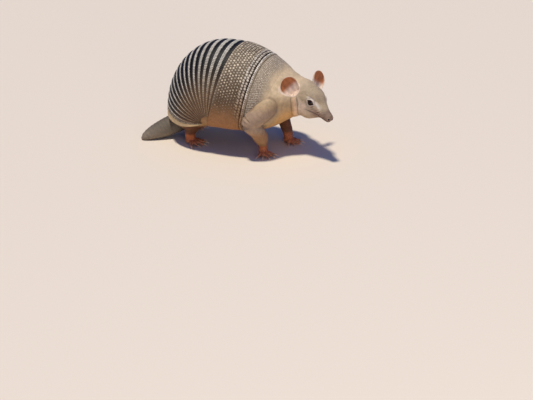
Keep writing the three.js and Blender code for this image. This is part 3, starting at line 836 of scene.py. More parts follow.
def colour_body(form):
    z = form.z
    form.wash((130, 98, 68), 1 + 0 * z)
    form.wash((138, 106, 72), smoothstep(70, 30, z) * 0.6)
    bare = smoothstep(-24, -18, ahead_of_shoulder(form.points))
    form.colour = blend(form.colour, shoulder_tone(z), bare)
    chest = smoothstep(116, 86, z) * smoothstep(70, 52, np.abs(form.y))
    form.wash((206, 156, 96), bare * chest * 0.9)
    # the hind and far legs get darker tones here: painted shade
    for weight, (upper, lower) in zip(form.on_legs, LEG_TONES_WITH_PAINTED_SHADE):
        form.wash(upper, weight * smoothstep(124, 104, z))
        form.wash(lower, weight * smoothstep(74, 52, z))
    form.wash((184, 106, 66), form.on_feet * smoothstep(32, 22, z))
    form.wash((214, 144, 106), form.on_feet * smoothstep(11, 5, z) * 0.6)


def colour_head(form):
    """Darker crown and muzzle, pale cheeks, a pale stripe over each eye and a shade under it."""
    hx, hz = form.hx, form.hz
    stripe_level = 17.5 - 0.10 * np.maximum(-52 - hx, 0) - 0.36 * np.maximum(hx + 52, 0)
    stripe = hill(hz, stripe_level, 2.8) * smoothstep(-66, -56, hx) * smoothstep(-20, -34, hx)
    eye_reach = np.linalg.norm((form.h - np.array([EYE_PLACE[0], 0, 9.0])) * np.array([1, 0, 1.15]), axis=-1)
    washes = [
        ((196, 172, 144), 1),
        ((174, 153, 124), smoothstep(-6, 10, hz)),
        ((226, 214, 200), stripe * 0.8),
        ((140, 118, 102), hill(eye_reach, 8.5, 3.2) * smoothstep(13, 8, hz) * 0.5),
        ((236, 212, 184), smoothstep(6, -6, hz) * smoothstep(-92, -84, hx) * smoothstep(-46, -60, hx) * 0.9),
        ((196, 164, 130), smoothstep(-20, -34, hz) * 0.7),
        ((146, 116, 98), smoothstep(-48, -30, hx) * smoothstep(6, -1, hz) * 0.9),
        ((128, 106, 88), smoothstep(-24, -10, hx) * 0.8),
        ((112, 88, 76), hill(hx, -10, 9) * smoothstep(2, 7, hz) * 0.5),
    ]
    for rgb, share in washes:
        form.wash(rgb, form.on_head * share)


def form_mouth(form):
    """The line of the mouth with its lips, and the folds along the muzzle, with painted shade in their
    hollows and painted highlights on their crests.
    """
    hx, hz, on_head = form.hx, form.hz, form.on_head
    mouth = MOUTH_LEVEL + 0.05 * hx - 0.0030 * np.maximum(-hx - 22, 0) ** 2
    line = hill(hz, mouth, 0.85) * smoothstep(-58, -48, hx) * smoothstep(2, -1, hx)
    form.raised -= on_head * 1.2 * line
    form.raised += on_head * 0.8 * hill(hz, mouth - 2.6, 1.7) * smoothstep(-54, -40, hx)
    form.raised += on_head * 0.5 * hill(hz, mouth + 2.6, 1.6) * smoothstep(-50, -36, hx)
    form.wash((62, 40, 33), on_head * line * 0.85)
    folded = on_head * smoothstep(-52, -38, hx) * smoothstep(-5, -10, hx) * smoothstep(12, 7, np.abs(hz + 1))
    wave = np.sin(hx - 0.75 * hz + 3.2 * noise(form.h, 9, 3)) * (0.6 + 0.6 * noise(form.h, 6, 4))
    form.raised += folded * 0.4 * wave
    # painted shade in the hollows of the folds, and painted highlights on their crests below
    form.wash((92, 68, 57), folded * smoothstep(-0.2, -0.9, wave) * 0.42)
    form.wash((190, 164, 148), folded * smoothstep(0.4, 0.95, wave) * 0.25)


def form_nostrils(form):
    for side in SIDES:
        reach = np.linalg.norm((form.h - sided(NOSTRIL_PLACE, side)) / np.array(NOSTRIL_SIZE), axis=-1)
        form.raised -= 2.6 * np.exp(-((reach / 1.5) ** 4))
        form.raised += 0.8 * hill(reach, 2.5, 0.7)
        # painted shade: the nostril's shallow hollow is coloured near-black
        form.wash((24, 14, 12), smoothstep(1.95, 1.1, reach))
        form.wash((178, 146, 130), hill(reach, 2.6, 0.6) * 0.6)


def form_scales(form, share, points, size, seed, sharp, height, level, light, dark):
    """Small scales: cells raised over the lines between them, where share is above 0."""
    near, second = cell_distances(points, size, seed)
    plates = smoothstep(0.0, sharp, second - near)
    form.raised += share * height * (plates - level)
    form.light(share * (light * plates - dark))


def form_neck(form):
    """The roll of skin behind the head with a crease on each side of it darkened by painted shade, and the
    pale feet of the ears.
    """
    points, hz = form.points, form.hz
    joint = np.full(len(points), 99.0)
    front = form.x > 138
    behind = np.minimum(neck_loft(points[front]), body_distance(points[front], BARE_DEPTH))
    joint[front] = head_loft(form.h[front]) - behind
    joint = joint - JAW_CREASE
    roll = smoothstep(6, -2, hz) * smoothstep(-48, -40, hz)
    form.raised += roll * (1.8 * np.sin(np.clip(joint / 12, 0, 1) * math.pi) - 1.8 * hill(joint, -0.4, 1.0))
    form.raised -= roll * 1.2 * hill(joint, 12.5, 1.2)
    form.wash((224, 182, 142), roll * hill(joint, 6, 4) * 0.8)
    for side in SIDES:
        form.colour = blend(form.colour, EAR_LOW_TONE, smoothstep(2.5, 1.0, ear_hollow(form.h, side)))
    # painted shade darkens the skin in both creases of the roll
    shade = np.maximum(hill(joint, -0.4, 0.9), 0.7 * hill(joint, 12.7, 1.0))
    form.light(-roll * shade * 0.6)


def form_soft_skin(form):
    """Fine wrinkles and speckles of soft skin, with painted light and shade on the wrinkles, and painted
    shade inside the near elbow.
    """
    points = form.points
    soft = (1 - form.on_head) * (1 - form.on_feet) * (1 - form.on_tail)
    wrinkle = noise(points * np.array([1.0, 1.0, 0.45]), 4.5, 11)
    form.raised += soft * 0.22 * wrinkle
    # painted light and shade: the skin is lighter on the wrinkles' ridges and darker in their hollows
    form.light(soft * 0.07 * wrinkle)
    form.light(noise(points, 7.0, 13) * 0.07 + noise(points, 2.6, 14) * 0.05)
    bend = np.linalg.norm((points - np.array([118, -64, 84])) * np.array([1, 1, 0.5]), axis=-1)
    form.light(-0.30 * form.on_legs[0] * hill(bend, 0, 14))


def form_legs(form):
    """Scales of the legs and feet, pale stipples on the near foreleg, and creases round both forelegs,
    darkened by painted shade.
    """
    points, z = form.points, form.z
    share = np.maximum(form.on_feet, np.maximum.reduce(form.on_legs[1:]) * smoothstep(74, 46, z) * 0.8)
    shade = scatter(np.floor(points / 3.6), 3)[:, 0] * 0.2
    form_scales(form, share, points, 3.6, 17, 1.0, 0.5, 0.8, 0.40, 0.44 - shade)
    near, _ = cell_distances(points, 2.1, 19)
    stipple = smoothstep(0.75, 0.25, near) * form.on_legs[0] * (1 - form.on_feet) * smoothstep(128, 100, z)
    form.raised += 0.10 * stipple
    form.wash((196, 180, 158), stipple * 0.28)
    for loft in leg_lofts[:2]:
        crease = np.zeros(len(points))
        near = loft.beside(points, 12)
        crease[near] = hill(loft(points[near]), 2.2, 2.0) * smoothstep(64, 76, z[near])
        form.raised -= 0.9 * crease
        # painted shade: the skin in each crease is darkened as well as sunk
        form.light(-0.34 * crease)


def form_flank(form):
    """The patch of skin where the bands meet, and the scales along the lower flank."""
    x, z, wide = form.x, form.z, np.abs(form.y)
    hub_x, hub_z = BAND_HUB
    hub = smoothstep(70, 84, wide) * smoothstep(34, 22, np.hypot(x - hub_x, z - hub_z))
    form.wash((164, 124, 84), hub * 0.9)
    form.raised += hub * 0.25 * noise(form.points, 4.0, 51)
    flank = (1 - hub) * smoothstep(84, 92, wide) * smoothstep(94, 84, z) * smoothstep(60, 30, x)
    form_scales(form, flank, form.points, 3.8, 29, 1.0, 0.45, 0.7, 0.42, 0.34)


def form_tail(form):
    """Rings across the tail and fine lines along it."""
    stations = np.linspace(0, len(TAIL_STATIONS) - 1, 160)
    spine = Smooth(range(len(TAIL_STATIONS)), TAIL_STATIONS)(stations)[:, :3]
    length = np.concatenate([[0], np.cumsum(np.linalg.norm(np.diff(spine, axis=0), axis=-1))])
    tail = form.on_tail > 0
    points = form.points[tail]
    nearest = np.argmin(((points[:, None] - spine[None]) ** 2).sum(-1), 1)
    offset = points - spine[nearest]
    along = length[nearest]
    around = np.arctan2(offset[:, 2], offset @ unit(np.array([0.69, -0.72, 0.0])))
    rings = np.cos(along * 2 * np.pi / 8.0 + 0.8 * noise(points, 12, 21))
    lines = np.cos(around * 46 + 1.5 * noise(points, 14, 22))
    share = form.on_tail[tail]
    grey = blend(tone(104, 93, 78), tone(132, 118, 100), smoothstep(34, 8, points[:, 2]))
    dark = share * (0.10 * smoothstep(-0.3, -1, rings) + 0.13 * smoothstep(0, -1, lines))
    form.raised[tail] += share * (0.26 * rings + 0.14 * lines)
    form.colour[tail] = blend(form.colour[tail], grey, share) * (1 - dark)[:, None]


def form_lids(form, moved):
    """Lays the skin round each eye over the eyeball as two lids with a fold, and sinks it in between them."""
    for side in SIDES:
        axes = eye_frame(side)
        v = to_head(moved) - axes[0]
        reach = np.linalg.norm(v, axis=-1)
        lid_radius = EYE_RADIUS + LID_THICKNESS
        inside, outwards = eye_opening(unit(v) * lid_radius, axes)
        close = (outwards > 0) & (reach < 20)
        v, reach, inside = v[close], reach[close], inside[close]
        lid = lid_radius + 0.45 * hill(inside, -0.8, 0.8) - 0.5 * hill(inside, -3.2, 0.8)
        covered = -soft_union(-reach, -lid, 3.0)
        sunk = np.minimum(reach, EYE_RADIUS - 0.9)
        new_reach = lerp(covered, sunk, smoothstep(-0.25, 0.35, inside))
        moved[close] = from_head(axes[0] + unit(v) * new_reach[:, None])
        near = smoothstep(13, 10, reach)
        colour = blend(form.colour[close], tone(216, 200, 182), hill(inside, -1.3, 1.2) * near * 0.7)
        colour = blend(colour, tone(40, 26, 20), smoothstep(-1.15, -0.3, inside))
        # painted shade darkens the fold round the lids
        form.colour[close] = blend(colour, tone(120, 98, 80), hill(inside, -3.4, 0.8) * near * 0.5)


def shape_skin(points, normals):
    """Moves the skin's points into folds, lids, nostrils and scales, and gives each its colour."""
    form = SkinForm(points)
    colour_body(form)
    colour_head(form)
    form_mouth(form)
    form_nostrils(form)
    cheeks = form.on_head * smoothstep(-40, -54, form.hx) * smoothstep(-92, -76, form.hx)
    form_scales(form, cheeks, form.h, 3.4, 5, 0.9, 0.22, 1, 0.16, 0.16)
    form_neck(form)
    form_soft_skin(form)
    form_legs(form)
    form_flank(form)
    form_tail(form)
    moved = points + normals * form.raised[:, None]
    form_lids(form, moved)
    return moved, np.clip(form.colour, 0, 1)


def build_ear(side):
    """One ear as a thin leaf-shaped cup with a rounded rim."""
    height, _, _, thickness = EAR_SIZE
    spread = math.radians(EAR_SPREAD)
    rows, columns = 46, 38
    v, u = np.meshgrid(np.linspace(0, 1, rows), np.linspace(-1, 1, columns), indexing="ij")
    wide = np.abs(u)
    part = np.sin(v * math.pi / 2)
    width, cup = ear_cup(part)
    across = np.sin(u * spread) / math.sin(spread)
    back = (np.cos(u * spread) - math.cos(spread)) / (1 - math.cos(spread))
    wave = np.cos(u * 13) * smoothstep(0.9, 0.5, wide)
    rim = np.minimum(smoothstep(0.80, 0.97, wide) + smoothstep(0.93, 1.0, v), 1)
    depth = -cup * back + 0.35 * wave * smoothstep(0.95, 0.3, v) + 0.5 * rim
    inner = np.stack([depth, across * width, height * part], -1)
    body = thickness * lerp(0.55, 1, back)
    outer = np.stack([-cup * back - body, across * (width + 0.4), height * part + 0.3 * part**3], -1)
    outer[..., 0] += 0.3 * noise(outer * np.array([1, 1, 0.5]), 5, 31)
    points = np.concatenate([inner, outer[:, ::-1]], 1).reshape(-1, 3)

    r = np.arange(rows - 1) * columns * 2
    last = columns * 2 - 1
    close = np.stack([r + last, r, r + columns * 2, r + columns * 2 + last], -1)
    tip = (rows - 1) * columns * 2
    c = np.arange(columns - 1)
    top = np.stack([tip + c, tip + c + 1, tip + last - c - 1, tip + last - c], -1)
    foot = np.stack([c + 1, c, last - c, last - c - 1], -1)
    faces = np.concatenate([grid_faces(rows, columns * 2), close, top, foot])

    cream = tone(222, 198, 172)
    # painted light and shade: the hollow is lighter on its ridges and darker between them
    hollow = blend(EAR_LOW_TONE, tone(176, 108, 66), smoothstep(0.20, 0.42, v)) * (1 + 0.10 * wave)[..., None]
    hollow = blend(hollow, cream, smoothstep(0.84, 0.95, wide) * 0.9)
    hollow = blend(hollow, tone(214, 180, 148), smoothstep(0.90, 0.98, v) * 0.8)
    outside = blend(tone(176, 150, 122), tone(150, 112, 82), v)
    outside = blend(outside, cream, smoothstep(0.88, 0.97, wide) * 0.9)
    tint = np.concatenate([hollow, outside[:, ::-1]], 1).reshape(-1, 3)
    tint = tint * (1 + 0.08 * noise(points, 5, 33))[:, None]
    points = from_head(points @ ear_turn(side).T + sided(EAR_PLACE, side))
    return new_mesh(f"ear_{side}", points, [faces], tint)


def under_shell(points):
    """True where the shell hides the body's skin."""
    x, y, z = points.T
    hub_x, hub_z = BAND_HUB
    reach = np.hypot(x - hub_x, z - hub_z)
    around = np.degrees(np.arctan2(np.abs(y), reach))
    angle = np.degrees(np.arctan2(z - hub_z, hub_x - x))
    lowest, highest = HIDDEN_ANGLES
    banded = (angle > lowest) & (angle < highest) & (around < HIDDEN_AROUND) & (x < HIDDEN_FRONT)
    rear, front, low = HIDDEN_SHIELD
    shield = (x > rear) & (x < front) & (z > low) & (ahead_of_shoulder(points) < -26)
    legs = np.maximum.reduce([loft_weights(points, loft, 10) for loft in leg_lofts[:2]]) > 0
    return (banded | shield) & ~legs


def thin_out(skin, points):
    """Simplifies the skin that the shell hides, to a set share of its faces."""
    hidden = under_shell(points)
    group = skin.vertex_groups.new(name="hidden")
    group.add(np.flatnonzero(hidden).tolist(), 1.0, "REPLACE")
    corners = np.empty(len(skin.data.loops), np.int32)
    skin.data.loops.foreach_get("vertex_index", corners)
    simplify = skin.modifiers.new("simplify", "DECIMATE")
    simplify.ratio = 1 - (1 - HIDDEN_SHARE) * hidden[corners].mean()
    simplify.vertex_group = "hidden"
    shape = bpy.data.meshes.new_from_object(skin.evaluated_get(bpy.context.evaluated_depsgraph_get()))
    skin.modifiers.clear()
    skin.vertex_groups.clear()
    skin.data = shape


def build_skin():
    points, quads = skin_grid()
    points = project(points)
    skin, points = refined(points, quads)
    normals = gradient(points)
    shaped, colour = shape_skin(points, normals)
    shaped[:, 2] = np.maximum(shaped[:, 2], 0)
    set_points(skin.data, shaped)
    set_colour(skin.data, colour)
    thin_out(skin, points)
    join(skin, [build_ear(side) for side in SIDES])
    skin.data.update()
    skin.data.shade_smooth()
    return skin


def join(piece, others):
    bpy.ops.object.select_all(action="DESELECT")
    for other in others:
        other.select_set(True)
    piece.select_set(True)
    bpy.context.view_layer.objects.active = piece
    bpy.ops.object.join()


# ---------------------------------------------------------------- eyes and claws


def build_eye(side, name):
    """An eyeball with a bulging cornea; its colours are rings round its outward axis."""
    centre, along, rise, out = eye_frame(side)
    rings, turns = 48, 64
    polar = np.linspace(0, math.pi, rings)[:, None]
    turn = np.linspace(0, 2 * math.pi, turns, endpoint=False)[None]
    reach = EYE_RADIUS * 0.995 + 0.55 * (1 - smoothstep(0.2, 0.72, polar)) + 0 * turn
    sideways = np.cos(turn)[..., None] * along + np.sin(turn)[..., None] * rise
    direction = np.cos(polar)[..., None] * out + np.sin(polar)[..., None] * sideways
    points = (centre + direction * reach[..., None]).reshape(-1, 3)
    faces = grid_faces(rings, turns, close_columns=True)
    if side > 0:
        faces = faces[:, ::-1]
    angle = (polar + 0 * turn).ravel()
    streaks = 0.5 + 0.5 * np.cos((turn + 0 * polar).ravel() * 23)
    colour = blend(tone(62, 44, 34), tone(38, 22, 13), smoothstep(0.86, 0.78, angle))
    colour = blend(colour, tone(92, 56, 30), smoothstep(0.78, 0.5, angle) * (0.3 + 0.5 * streaks))
    colour = blend(colour, tone(4, 3, 3), smoothstep(0.46, 0.38, angle))
    return new_mesh(name, from_head(points), [faces], colour)


def build_claws():
    """Every claw as rings on a line that arches over and down to its tip, one mesh for all."""
    rings, turns = 18, 12
    up = np.array([0, 0, 1.0])
    t = np.linspace(0, 1, rings)[:, None]
    turn = np.linspace(0, 2 * math.pi, turns, endpoint=False)[None]
    radius = CLAW_RADIUS * (1 - t) ** 0.62 * (1 - 0.12 * t) + 0.12
    drop = 0.9 * np.sin(t * math.pi) - (TOE_SIZE[3] - 0.6) * t**1.6
    high = np.where(np.sin(turn) > 0, 1.0, 0.55)  # flatter below than above
    claws = []
    for leg in LEGS:
        for number in range(TOE_COUNT):
            heading = toe_heading(leg, number)
            forward = np.array([math.cos(heading), math.sin(heading), 0])
            side = np.array([-math.sin(heading), math.cos(heading), 0])
            start = toe_tip(leg, number) - forward * 2.0
            centre = start + (t * (CLAW_LENGTH + 2.5))[..., None] * forward + drop[..., None] * up
            section = 0.78 * np.cos(turn)[..., None] * side + (high * np.sin(turn))[..., None] * up
            ring = centre + radius[..., None] * section
            ring[..., 2] = np.maximum(ring[..., 2], 0.05)
            claws.append(ring.reshape(-1, 3))
    first = np.arange(len(claws))[:, None] * rings * turns
    wall = np.roll(grid_faces(rings, turns, close_columns=True), -1, axis=1)
    walls = (first[:, :, None] + wall[None]).reshape(-1, 4)
    root = first + np.arange(turns)[::-1]
    tip = first + (rings - 1) * turns + np.arange(turns)
    caps = np.stack([root, tip], 1).reshape(-1, turns)[:, ::-1]
    horn = blend(tone(150, 108, 82), tone(232, 192, 158), smoothstep(0.05, 0.75, t) + 0 * turn).reshape(-1, 3)
    return new_mesh("claws", np.concatenate(claws), [walls, caps], np.tile(horn, (len(claws), 1)))


# ---------------------------------------------------------------- shell


def dots(across, along, pitch, row_pitch, radius, seed):
    """Round scutes in staggered rows: the reach from the nearest one's middle, and its random number."""
    row = np.round(along / row_pitch)
    shift = (row % 2) * 0.5
    column = np.round(across / pitch - shift)
    chance = scatter(np.stack([row, column, 0 * row], -1), seed)
    wander = DOT_WANDER * min(pitch, row_pitch)
    dx = across - (column + shift) * pitch - (chance[..., 0] - 0.5) * wander
    dy = along - row * row_pitch - (chance[..., 1] - 0.5) * wander
    reach = np.hypot(dx, dy) / (radius * (0.9 + 0.2 * chance[..., 2]))
    return reach, chance[..., 2]


def uneven(colour, grid, amount, size, seed):
    """Colours made a little lighter and darker in patches of about a size."""
    return colour * (1 + amount * noise(grid.base, size, seed))[..., None]


def toothed_band(grid, number):
    """A black or brown ground and a raised pale rear margin of small scutes like teeth."""
    v, width = grid.v, grid.width
    near_hub = smoothstep(12.5, 4.5, width)
    narrow = smoothstep(3.0, 8.0, width)
    forward = float(smoothstep(8, 15, number))
    down = np.abs(grid.around) / BAND_END
    browned = smoothstep(0.34, 0.74, down) * lerp(0.45, 1, forward)
    dark = blend(tone(15, 12, 10), tone(92, 73, 55), browned)
    dark = blend(dark, tone(104, 80, 60), near_hub)
    pale = blend(tone(208, 200, 184), tone(192, 172, 142), smoothstep(0.45, 0.85, down))
    pale = blend(pale, tone(160, 145, 122), smoothstep(0.25, 0.6, down) * forward * 0.8)
    pale = blend(pale, tone(150, 124, 96), near_hub)

    place_across = grid.across / BAND_TOOTH + 0.5 * (number % 2)
    tooth = np.abs(np.cos(math.pi * place_across))
    scute = np.abs(np.cos(math.pi * (place_across + 0.5)))
    chance = scatter(np.stack([np.round(place_across), 0 * v + number, 0 * v], -1), 41)
    margin = lerp(0.31, 0.46, forward) + 0.10 * smoothstep(0.3, 0.7, down) * forward
    margin = margin + 0.09 * (tooth - 0.5) + 0.05 * (chance[..., 1] - 0.5)
    pale_part = smoothstep(margin + 0.04, margin - 0.04, v)
    ground = 1 - pale_part
    gap = smoothstep(0.16, 0.52, tooth)
    rows = np.cos(2 * math.pi * v / margin) if number >= BAND_COUNT - 6 else 0 * v
    crown = np.clip(v / 0.07, 0, 1) * np.clip((margin - v) / 0.08, 0, 1)
    relief = rounded_rims(grid, 1.2, 0.9)
    relief = relief + narrow * pale_part * (0.75 * gap * np.sqrt(crown) - 0.12 + 0.08 * rows)
    relief = relief - narrow * ground * (0.25 * smoothstep(0.45, 0.1, scute) + 0.2 * hill(v, 0.78, 0.03))
    strength = pale_part * (0.10 + 0.90 * gap * (0.35 + 0.65 * crown)) * (1 - 0.22 * forward * (rows < -0.4))
    colour = blend(dark, pale * (0.80 + 0.36 * chance[..., :1]), strength)
    front = ground * smoothstep(0.75, 1.0, scute) * smoothstep(0.74, 0.9, v)
    return relief, blend(colour, pale * 0.5, 0.30 * front)


def beaded_band(grid):
    """The last band but one: pale beads on a dark ground, smooth along the rear."""
    reach, chance = dots(grid.across, grid.along - 1.5, 4.4, 3.4, 1.6, 44)
    ground = blend(tone(52, 42, 33), tone(122, 100, 76), smoothstep(12.5, 4.5, grid.width))
    bead_tone = tone(168, 152, 128) * (0.75 + 0.5 * chance[..., None])
    colour = blend(ground, bead_tone, smoothstep(1.15, 0.75, reach))
    relief = rounded_rims(grid, 1.6, 1.0) + smoothstep(3.0, 8.0, grid.width) * 0.5 * dome(reach, 1.1)
    soft = smoothstep(0.38, 0.20, grid.v)
    return lerp(relief, 0.2, soft), blend(colour, tone(200, 170, 126), soft)


def rump_lip(grid):
    """The rearmost band: a smooth cream lip."""
    cream = blend(tone(216, 188, 142), tone(176, 136, 92), smoothstep(0.5, 0.0, grid.v))
    relief = rounded_rims(grid, 3.4, 2.2, front=False) + 0.7 * np.sin(math.pi * grid.v)
    return relief + 0.12 * noise(grid.base, 5, 45), uneven(cream, grid, 0.12, 7, 44)


def build_band(number, name):
    """A band of the back; the two rearmost have no teeth."""
    grid = PlateGrid(band_edge, number, number + 1, 28, 620, depth=lambda v: BAND_LAP * v)
    plain = {0: rump_lip, 1: beaded_band}
    relief, colour = plain[number](grid) if number in plain else toothed_band(grid, number)
    return grid.piece(name, relief, uneven(colour, grid, 0.08, 11, 46))


def front_rows(grid, down):
    """The bold scutes along the front of the middle shield: their share, relief and colour."""
    along, width = grid.along, grid.width
    reach, chance = dots(grid.across, along - width + 3.6, 6.2, 6.8, 2.55, 61)
    pale = blend(tone(204, 192, 172), tone(150, 122, 92), smoothstep(0.35, 0.75, down))
    ground = blend(tone(78, 63, 50), tone(104, 76, 52), smoothstep(0.5, 0.8, down))
    colour = blend(ground, pale * (0.78 + 0.34 * chance[..., None]), smoothstep(1.15, 0.8, reach))
    share = smoothstep(width - 14.0, width - 12.5, along) * smoothstep(0.88, 0.72, down)
    return share, 0.8 * dome(reach, 1.1), colour


def build_middle():
    """The shield between the bands and the collar: round pale scutes above, fine ribs on the flanks."""
    grid = PlateGrid(middle_edge, BAND_HUB[0], COLLAR_FRONT_X - COLLAR_WIDTH, 96, 640)
    along, across = grid.along, grid.across
    down = np.abs(grid.around) / SHIELD_END
    low = smoothstep(0.56, 0.92, down + 0.03 * noise(grid.base, 16, 51))
    high = 1 - low
    base = blend(tone(106, 88, 68), tone(88, 70, 52), smoothstep(0.2, 0.55, down))
    base = blend(base, tone(154, 108, 70), low)
    dot_tone = blend(tone(204, 188, 162), tone(148, 126, 101), smoothstep(0.34, 0.7, down))

    wander = 0.5 * noise(grid.base, 24, 52)
    reach, chance = dots(across + wander, along - 3.0 + wander, 6.6, 6.2, 1.0, 47)
    reach = reach / lerp(2.15, 1.5, smoothstep(0.3, 0.62, down))
    ring = hill(reach, 1.3, 0.18)
    small, small_chance = dots(across + 1.2, along - 1.2, 2.9, 2.7, 0.85, 53)
    bead = smoothstep(1.2, 0.6, small) * smoothstep(1.15, 1.4, reach)
    ribs = np.cos(2 * math.pi * across / 3.1 + 0.5 * noise(grid.base, 10, 59))
    rungs = np.cos(2 * math.pi * along / 3.9)
    relief = rounded_rims(grid, 1.2, 0.9) + low * (0.04 * rungs + 0.16 * ribs)
    relief = relief + high * (0.60 * dome(reach, 1.12) - 0.22 * ring + 0.20 * bead)
    colour = blend(base, dot_tone * (0.62 + 0.60 * chance[..., None]), smoothstep(1.15, 0.75, reach) * high)
    colour = blend(colour, dot_tone * (0.45 + 0.45 * small_chance[..., None]), bead * 0.6 * high)
    colour = colour * (1 - high * ring * 0.5)[..., None]
    colour = colour * (1 + low * (0.05 * rungs + 0.20 * ribs))[..., None]

    front, bold_relief, bold_colour = front_rows(grid, down)
    relief = lerp(relief, rounded_rims(grid, 1.2, 0.9) + bold_relief, front)
    colour = blend(colour, bold_colour, front)
    colour = blend(colour, tone(150, 136, 116), 0.35 * smoothstep(9, 2, along) * smoothstep(0.75, 0.6, down))
    patches = 0.09 * noise(grid.base, 9, 63) + 0.06 * noise(grid.base, 3.1, 64)
    return grid.piece("middle_shield_shell", relief, colour * (1 + patches)[..., None])


def build_collar():
    """The raised rib before the shoulders: a string of beads between two dark grooves."""
    rear = COLLAR_FRONT_X - COLLAR_WIDTH
    grid = PlateGrid(middle_edge, rear, COLLAR_FRONT_X, 34, 660,
                     depth=lambda v: -COLLAR_RISE * np.sin(math.pi * v))
    v, along, width = grid.v, grid.along, grid.width
    down = np.abs(grid.around) / SHIELD_END
    beads, chance = dots(grid.across, along - 0.42 * width, 4.4, ONE_ROW, 1.9, 67)
    fine, fine_chance = dots(grid.across, along - 0.82 * width, 2.9, ONE_ROW, 1.05, 68)
    bead = smoothstep(1.2, 0.85, beads)
    pale = blend(tone(222, 210, 192), tone(156, 122, 90), smoothstep(0.4, 0.85, down))
    dark = blend(tone(64, 51, 40), tone(112, 82, 58), smoothstep(0.45, 0.85, down))
    colour = blend(dark, pale * (0.82 + 0.3 * chance[..., None]), bead)
    fine_tone = pale * (0.55 + 0.3 * fine_chance[..., None])
    colour = blend(colour, fine_tone, smoothstep(1.2, 0.8, fine) * (1 - bead))
    colour = blend(colour, tone(160, 143, 118), smoothstep(0.62, 0.74, v) * smoothstep(0.9, 0.6, down) * 0.8)
    relief = rounded_rims(grid, 1.0, 0.9) + 0.8 * dome(beads, 1.15) + 0.35 * dome(fine, 1.1)
    return grid.piece("collar_shell", relief - 0.35 * hill(v, 0.12, 0.08), colour)


def build_shoulder():
    """The shoulder shield: fine pale scutes behind, smooth ahead, its front edge sunk into the skin."""
    grid = PlateGrid(shoulder_edge, 0.0, 1.0, 100, 560)
    down = np.abs(grid.around) / SHOULDER_END
    wander = 0.5 * noise(grid.base, 18, 70)
    reach, chance = dots(grid.across + wander, grid.along + wander, 3.9, 3.5, 1.3, 71)
    scaled = smoothstep(0.92, 0.35, grid.v + 0.10 * noise(grid.base, 14, 72))
    base = blend(shoulder_tone(grid.base[..., 2]), tone(122, 106, 88), scaled * 0.85)
    base = blend(base, tone(100, 84, 67), scaled * smoothstep(0.3, 0.9, down) * 0.7)
    dot_tone = tone(206, 192, 170) * (0.7 + 0.45 * chance[..., None])
    colour = blend(base, dot_tone, smoothstep(1.2, 0.7, reach) * scaled * 0.9)
    relief = rounded_rims(grid, 1.2, 0.9, front=False) + 0.42 * scaled * dome(reach, 1.1)
    relief = relief - 1.4 * smoothstep(15, 0, grid.width - grid.along)
    relief = relief + 0.14 * (1 - scaled) * noise(grid.base, 3.2, 73)
    return grid.piece("shoulder_shield_shell", relief, uneven(colour, grid, 0.06, 8, 74))


head_profile = Smooth(range(len(HEAD_STATIONS)), [s[:3] for s in HEAD_STATIONS])


def build_cap():
    """The shield on the crown: an oval plate of flat many-sided scutes, its ends sunk into the skin."""
    rows, columns = 110, 120
    v, u = np.meshgrid(np.linspace(0, 1, rows), np.linspace(-1, 1, columns), indexing="ij")
    closing = 1 - CAP_CLOSING * (2 * v - 1) ** 4
    angle = np.radians(lerp(CAP_REAR[1], CAP_FRONT[1], v)) * closing * u
    back, half_width, up = np.moveaxis(head_profile(lerp(CAP_REAR[0], CAP_FRONT[0], v)), -1, 0)

    def layer(grow):
        side = np.sign(angle) * np.abs(np.sin(angle)) ** (2 / HEAD_POWER)
        rise = np.cos(angle) ** (2 / HEAD_POWER)
        return np.stack([-back, (half_width + grow) * side, (up + grow) * rise], -1)

    base = layer(CAP_HEIGHT)
    near, second = cell_distances(base, 5.0, 81, 0.8)
    groove = smoothstep(0.0, 0.8, second - near)
    rim = np.minimum(np.minimum(v, 1 - v) * 62, (1 - np.abs(u)) * 26 * closing)
    ends = smoothstep(0.80, 1.0, v) + smoothstep(0.14, 0.0, v)
    relief = 0.3 * (groove - 1) * (1 - ends) - 1.7 * smoothstep(1.6, 0.0, rim) ** 2 - 0.9 * ends
    relief = relief + 0.10 * noise(base, 2.2, 82)
    outwards = unit(np.stack([0 * u, base[..., 1], base[..., 2]], -1))
    outer = base + outwards * relief[..., None]
    tint = blend(tone(178, 157, 128), tone(166, 146, 120), smoothstep(0.3, 0.9, v))
    tint = blend(tint, tone(136, 114, 90), (1 - groove) * (1 - ends) * 0.4)
    tint = tint * (0.9 + 0.2 * noise(base, 8, 83))[..., None]
    pick = np.arange(rows)[::-1][:: rows // 6]
    inner = layer(-0.8)[pick]
    # painted shade: the inner face takes the tint at 0.6
    return plate_mesh("head_cap", from_head(outer), from_head(inner), tint, tint[pick] * 0.6)


# ---------------------------------------------------------------- materials


def set_inputs(node, **values):
    """Sets a node's inputs by name, with _ for each space."""
    for name, value in values.items():
        node.inputs[name.replace("_", " ")].default_value = value


def add_node(material, kind, **values):
    node = material.node_tree.nodes.new(kind)
    set_inputs(node, **values)
    return node


def new_material(name, **values):
    """A material with a plain shader, and that shader."""
    material = bpy.data.materials.new(name)
    material.use_nodes = True
    shader = material.node_tree.nodes["Principled BSDF"]
    set_inputs(shader, **values)
    return material, shader


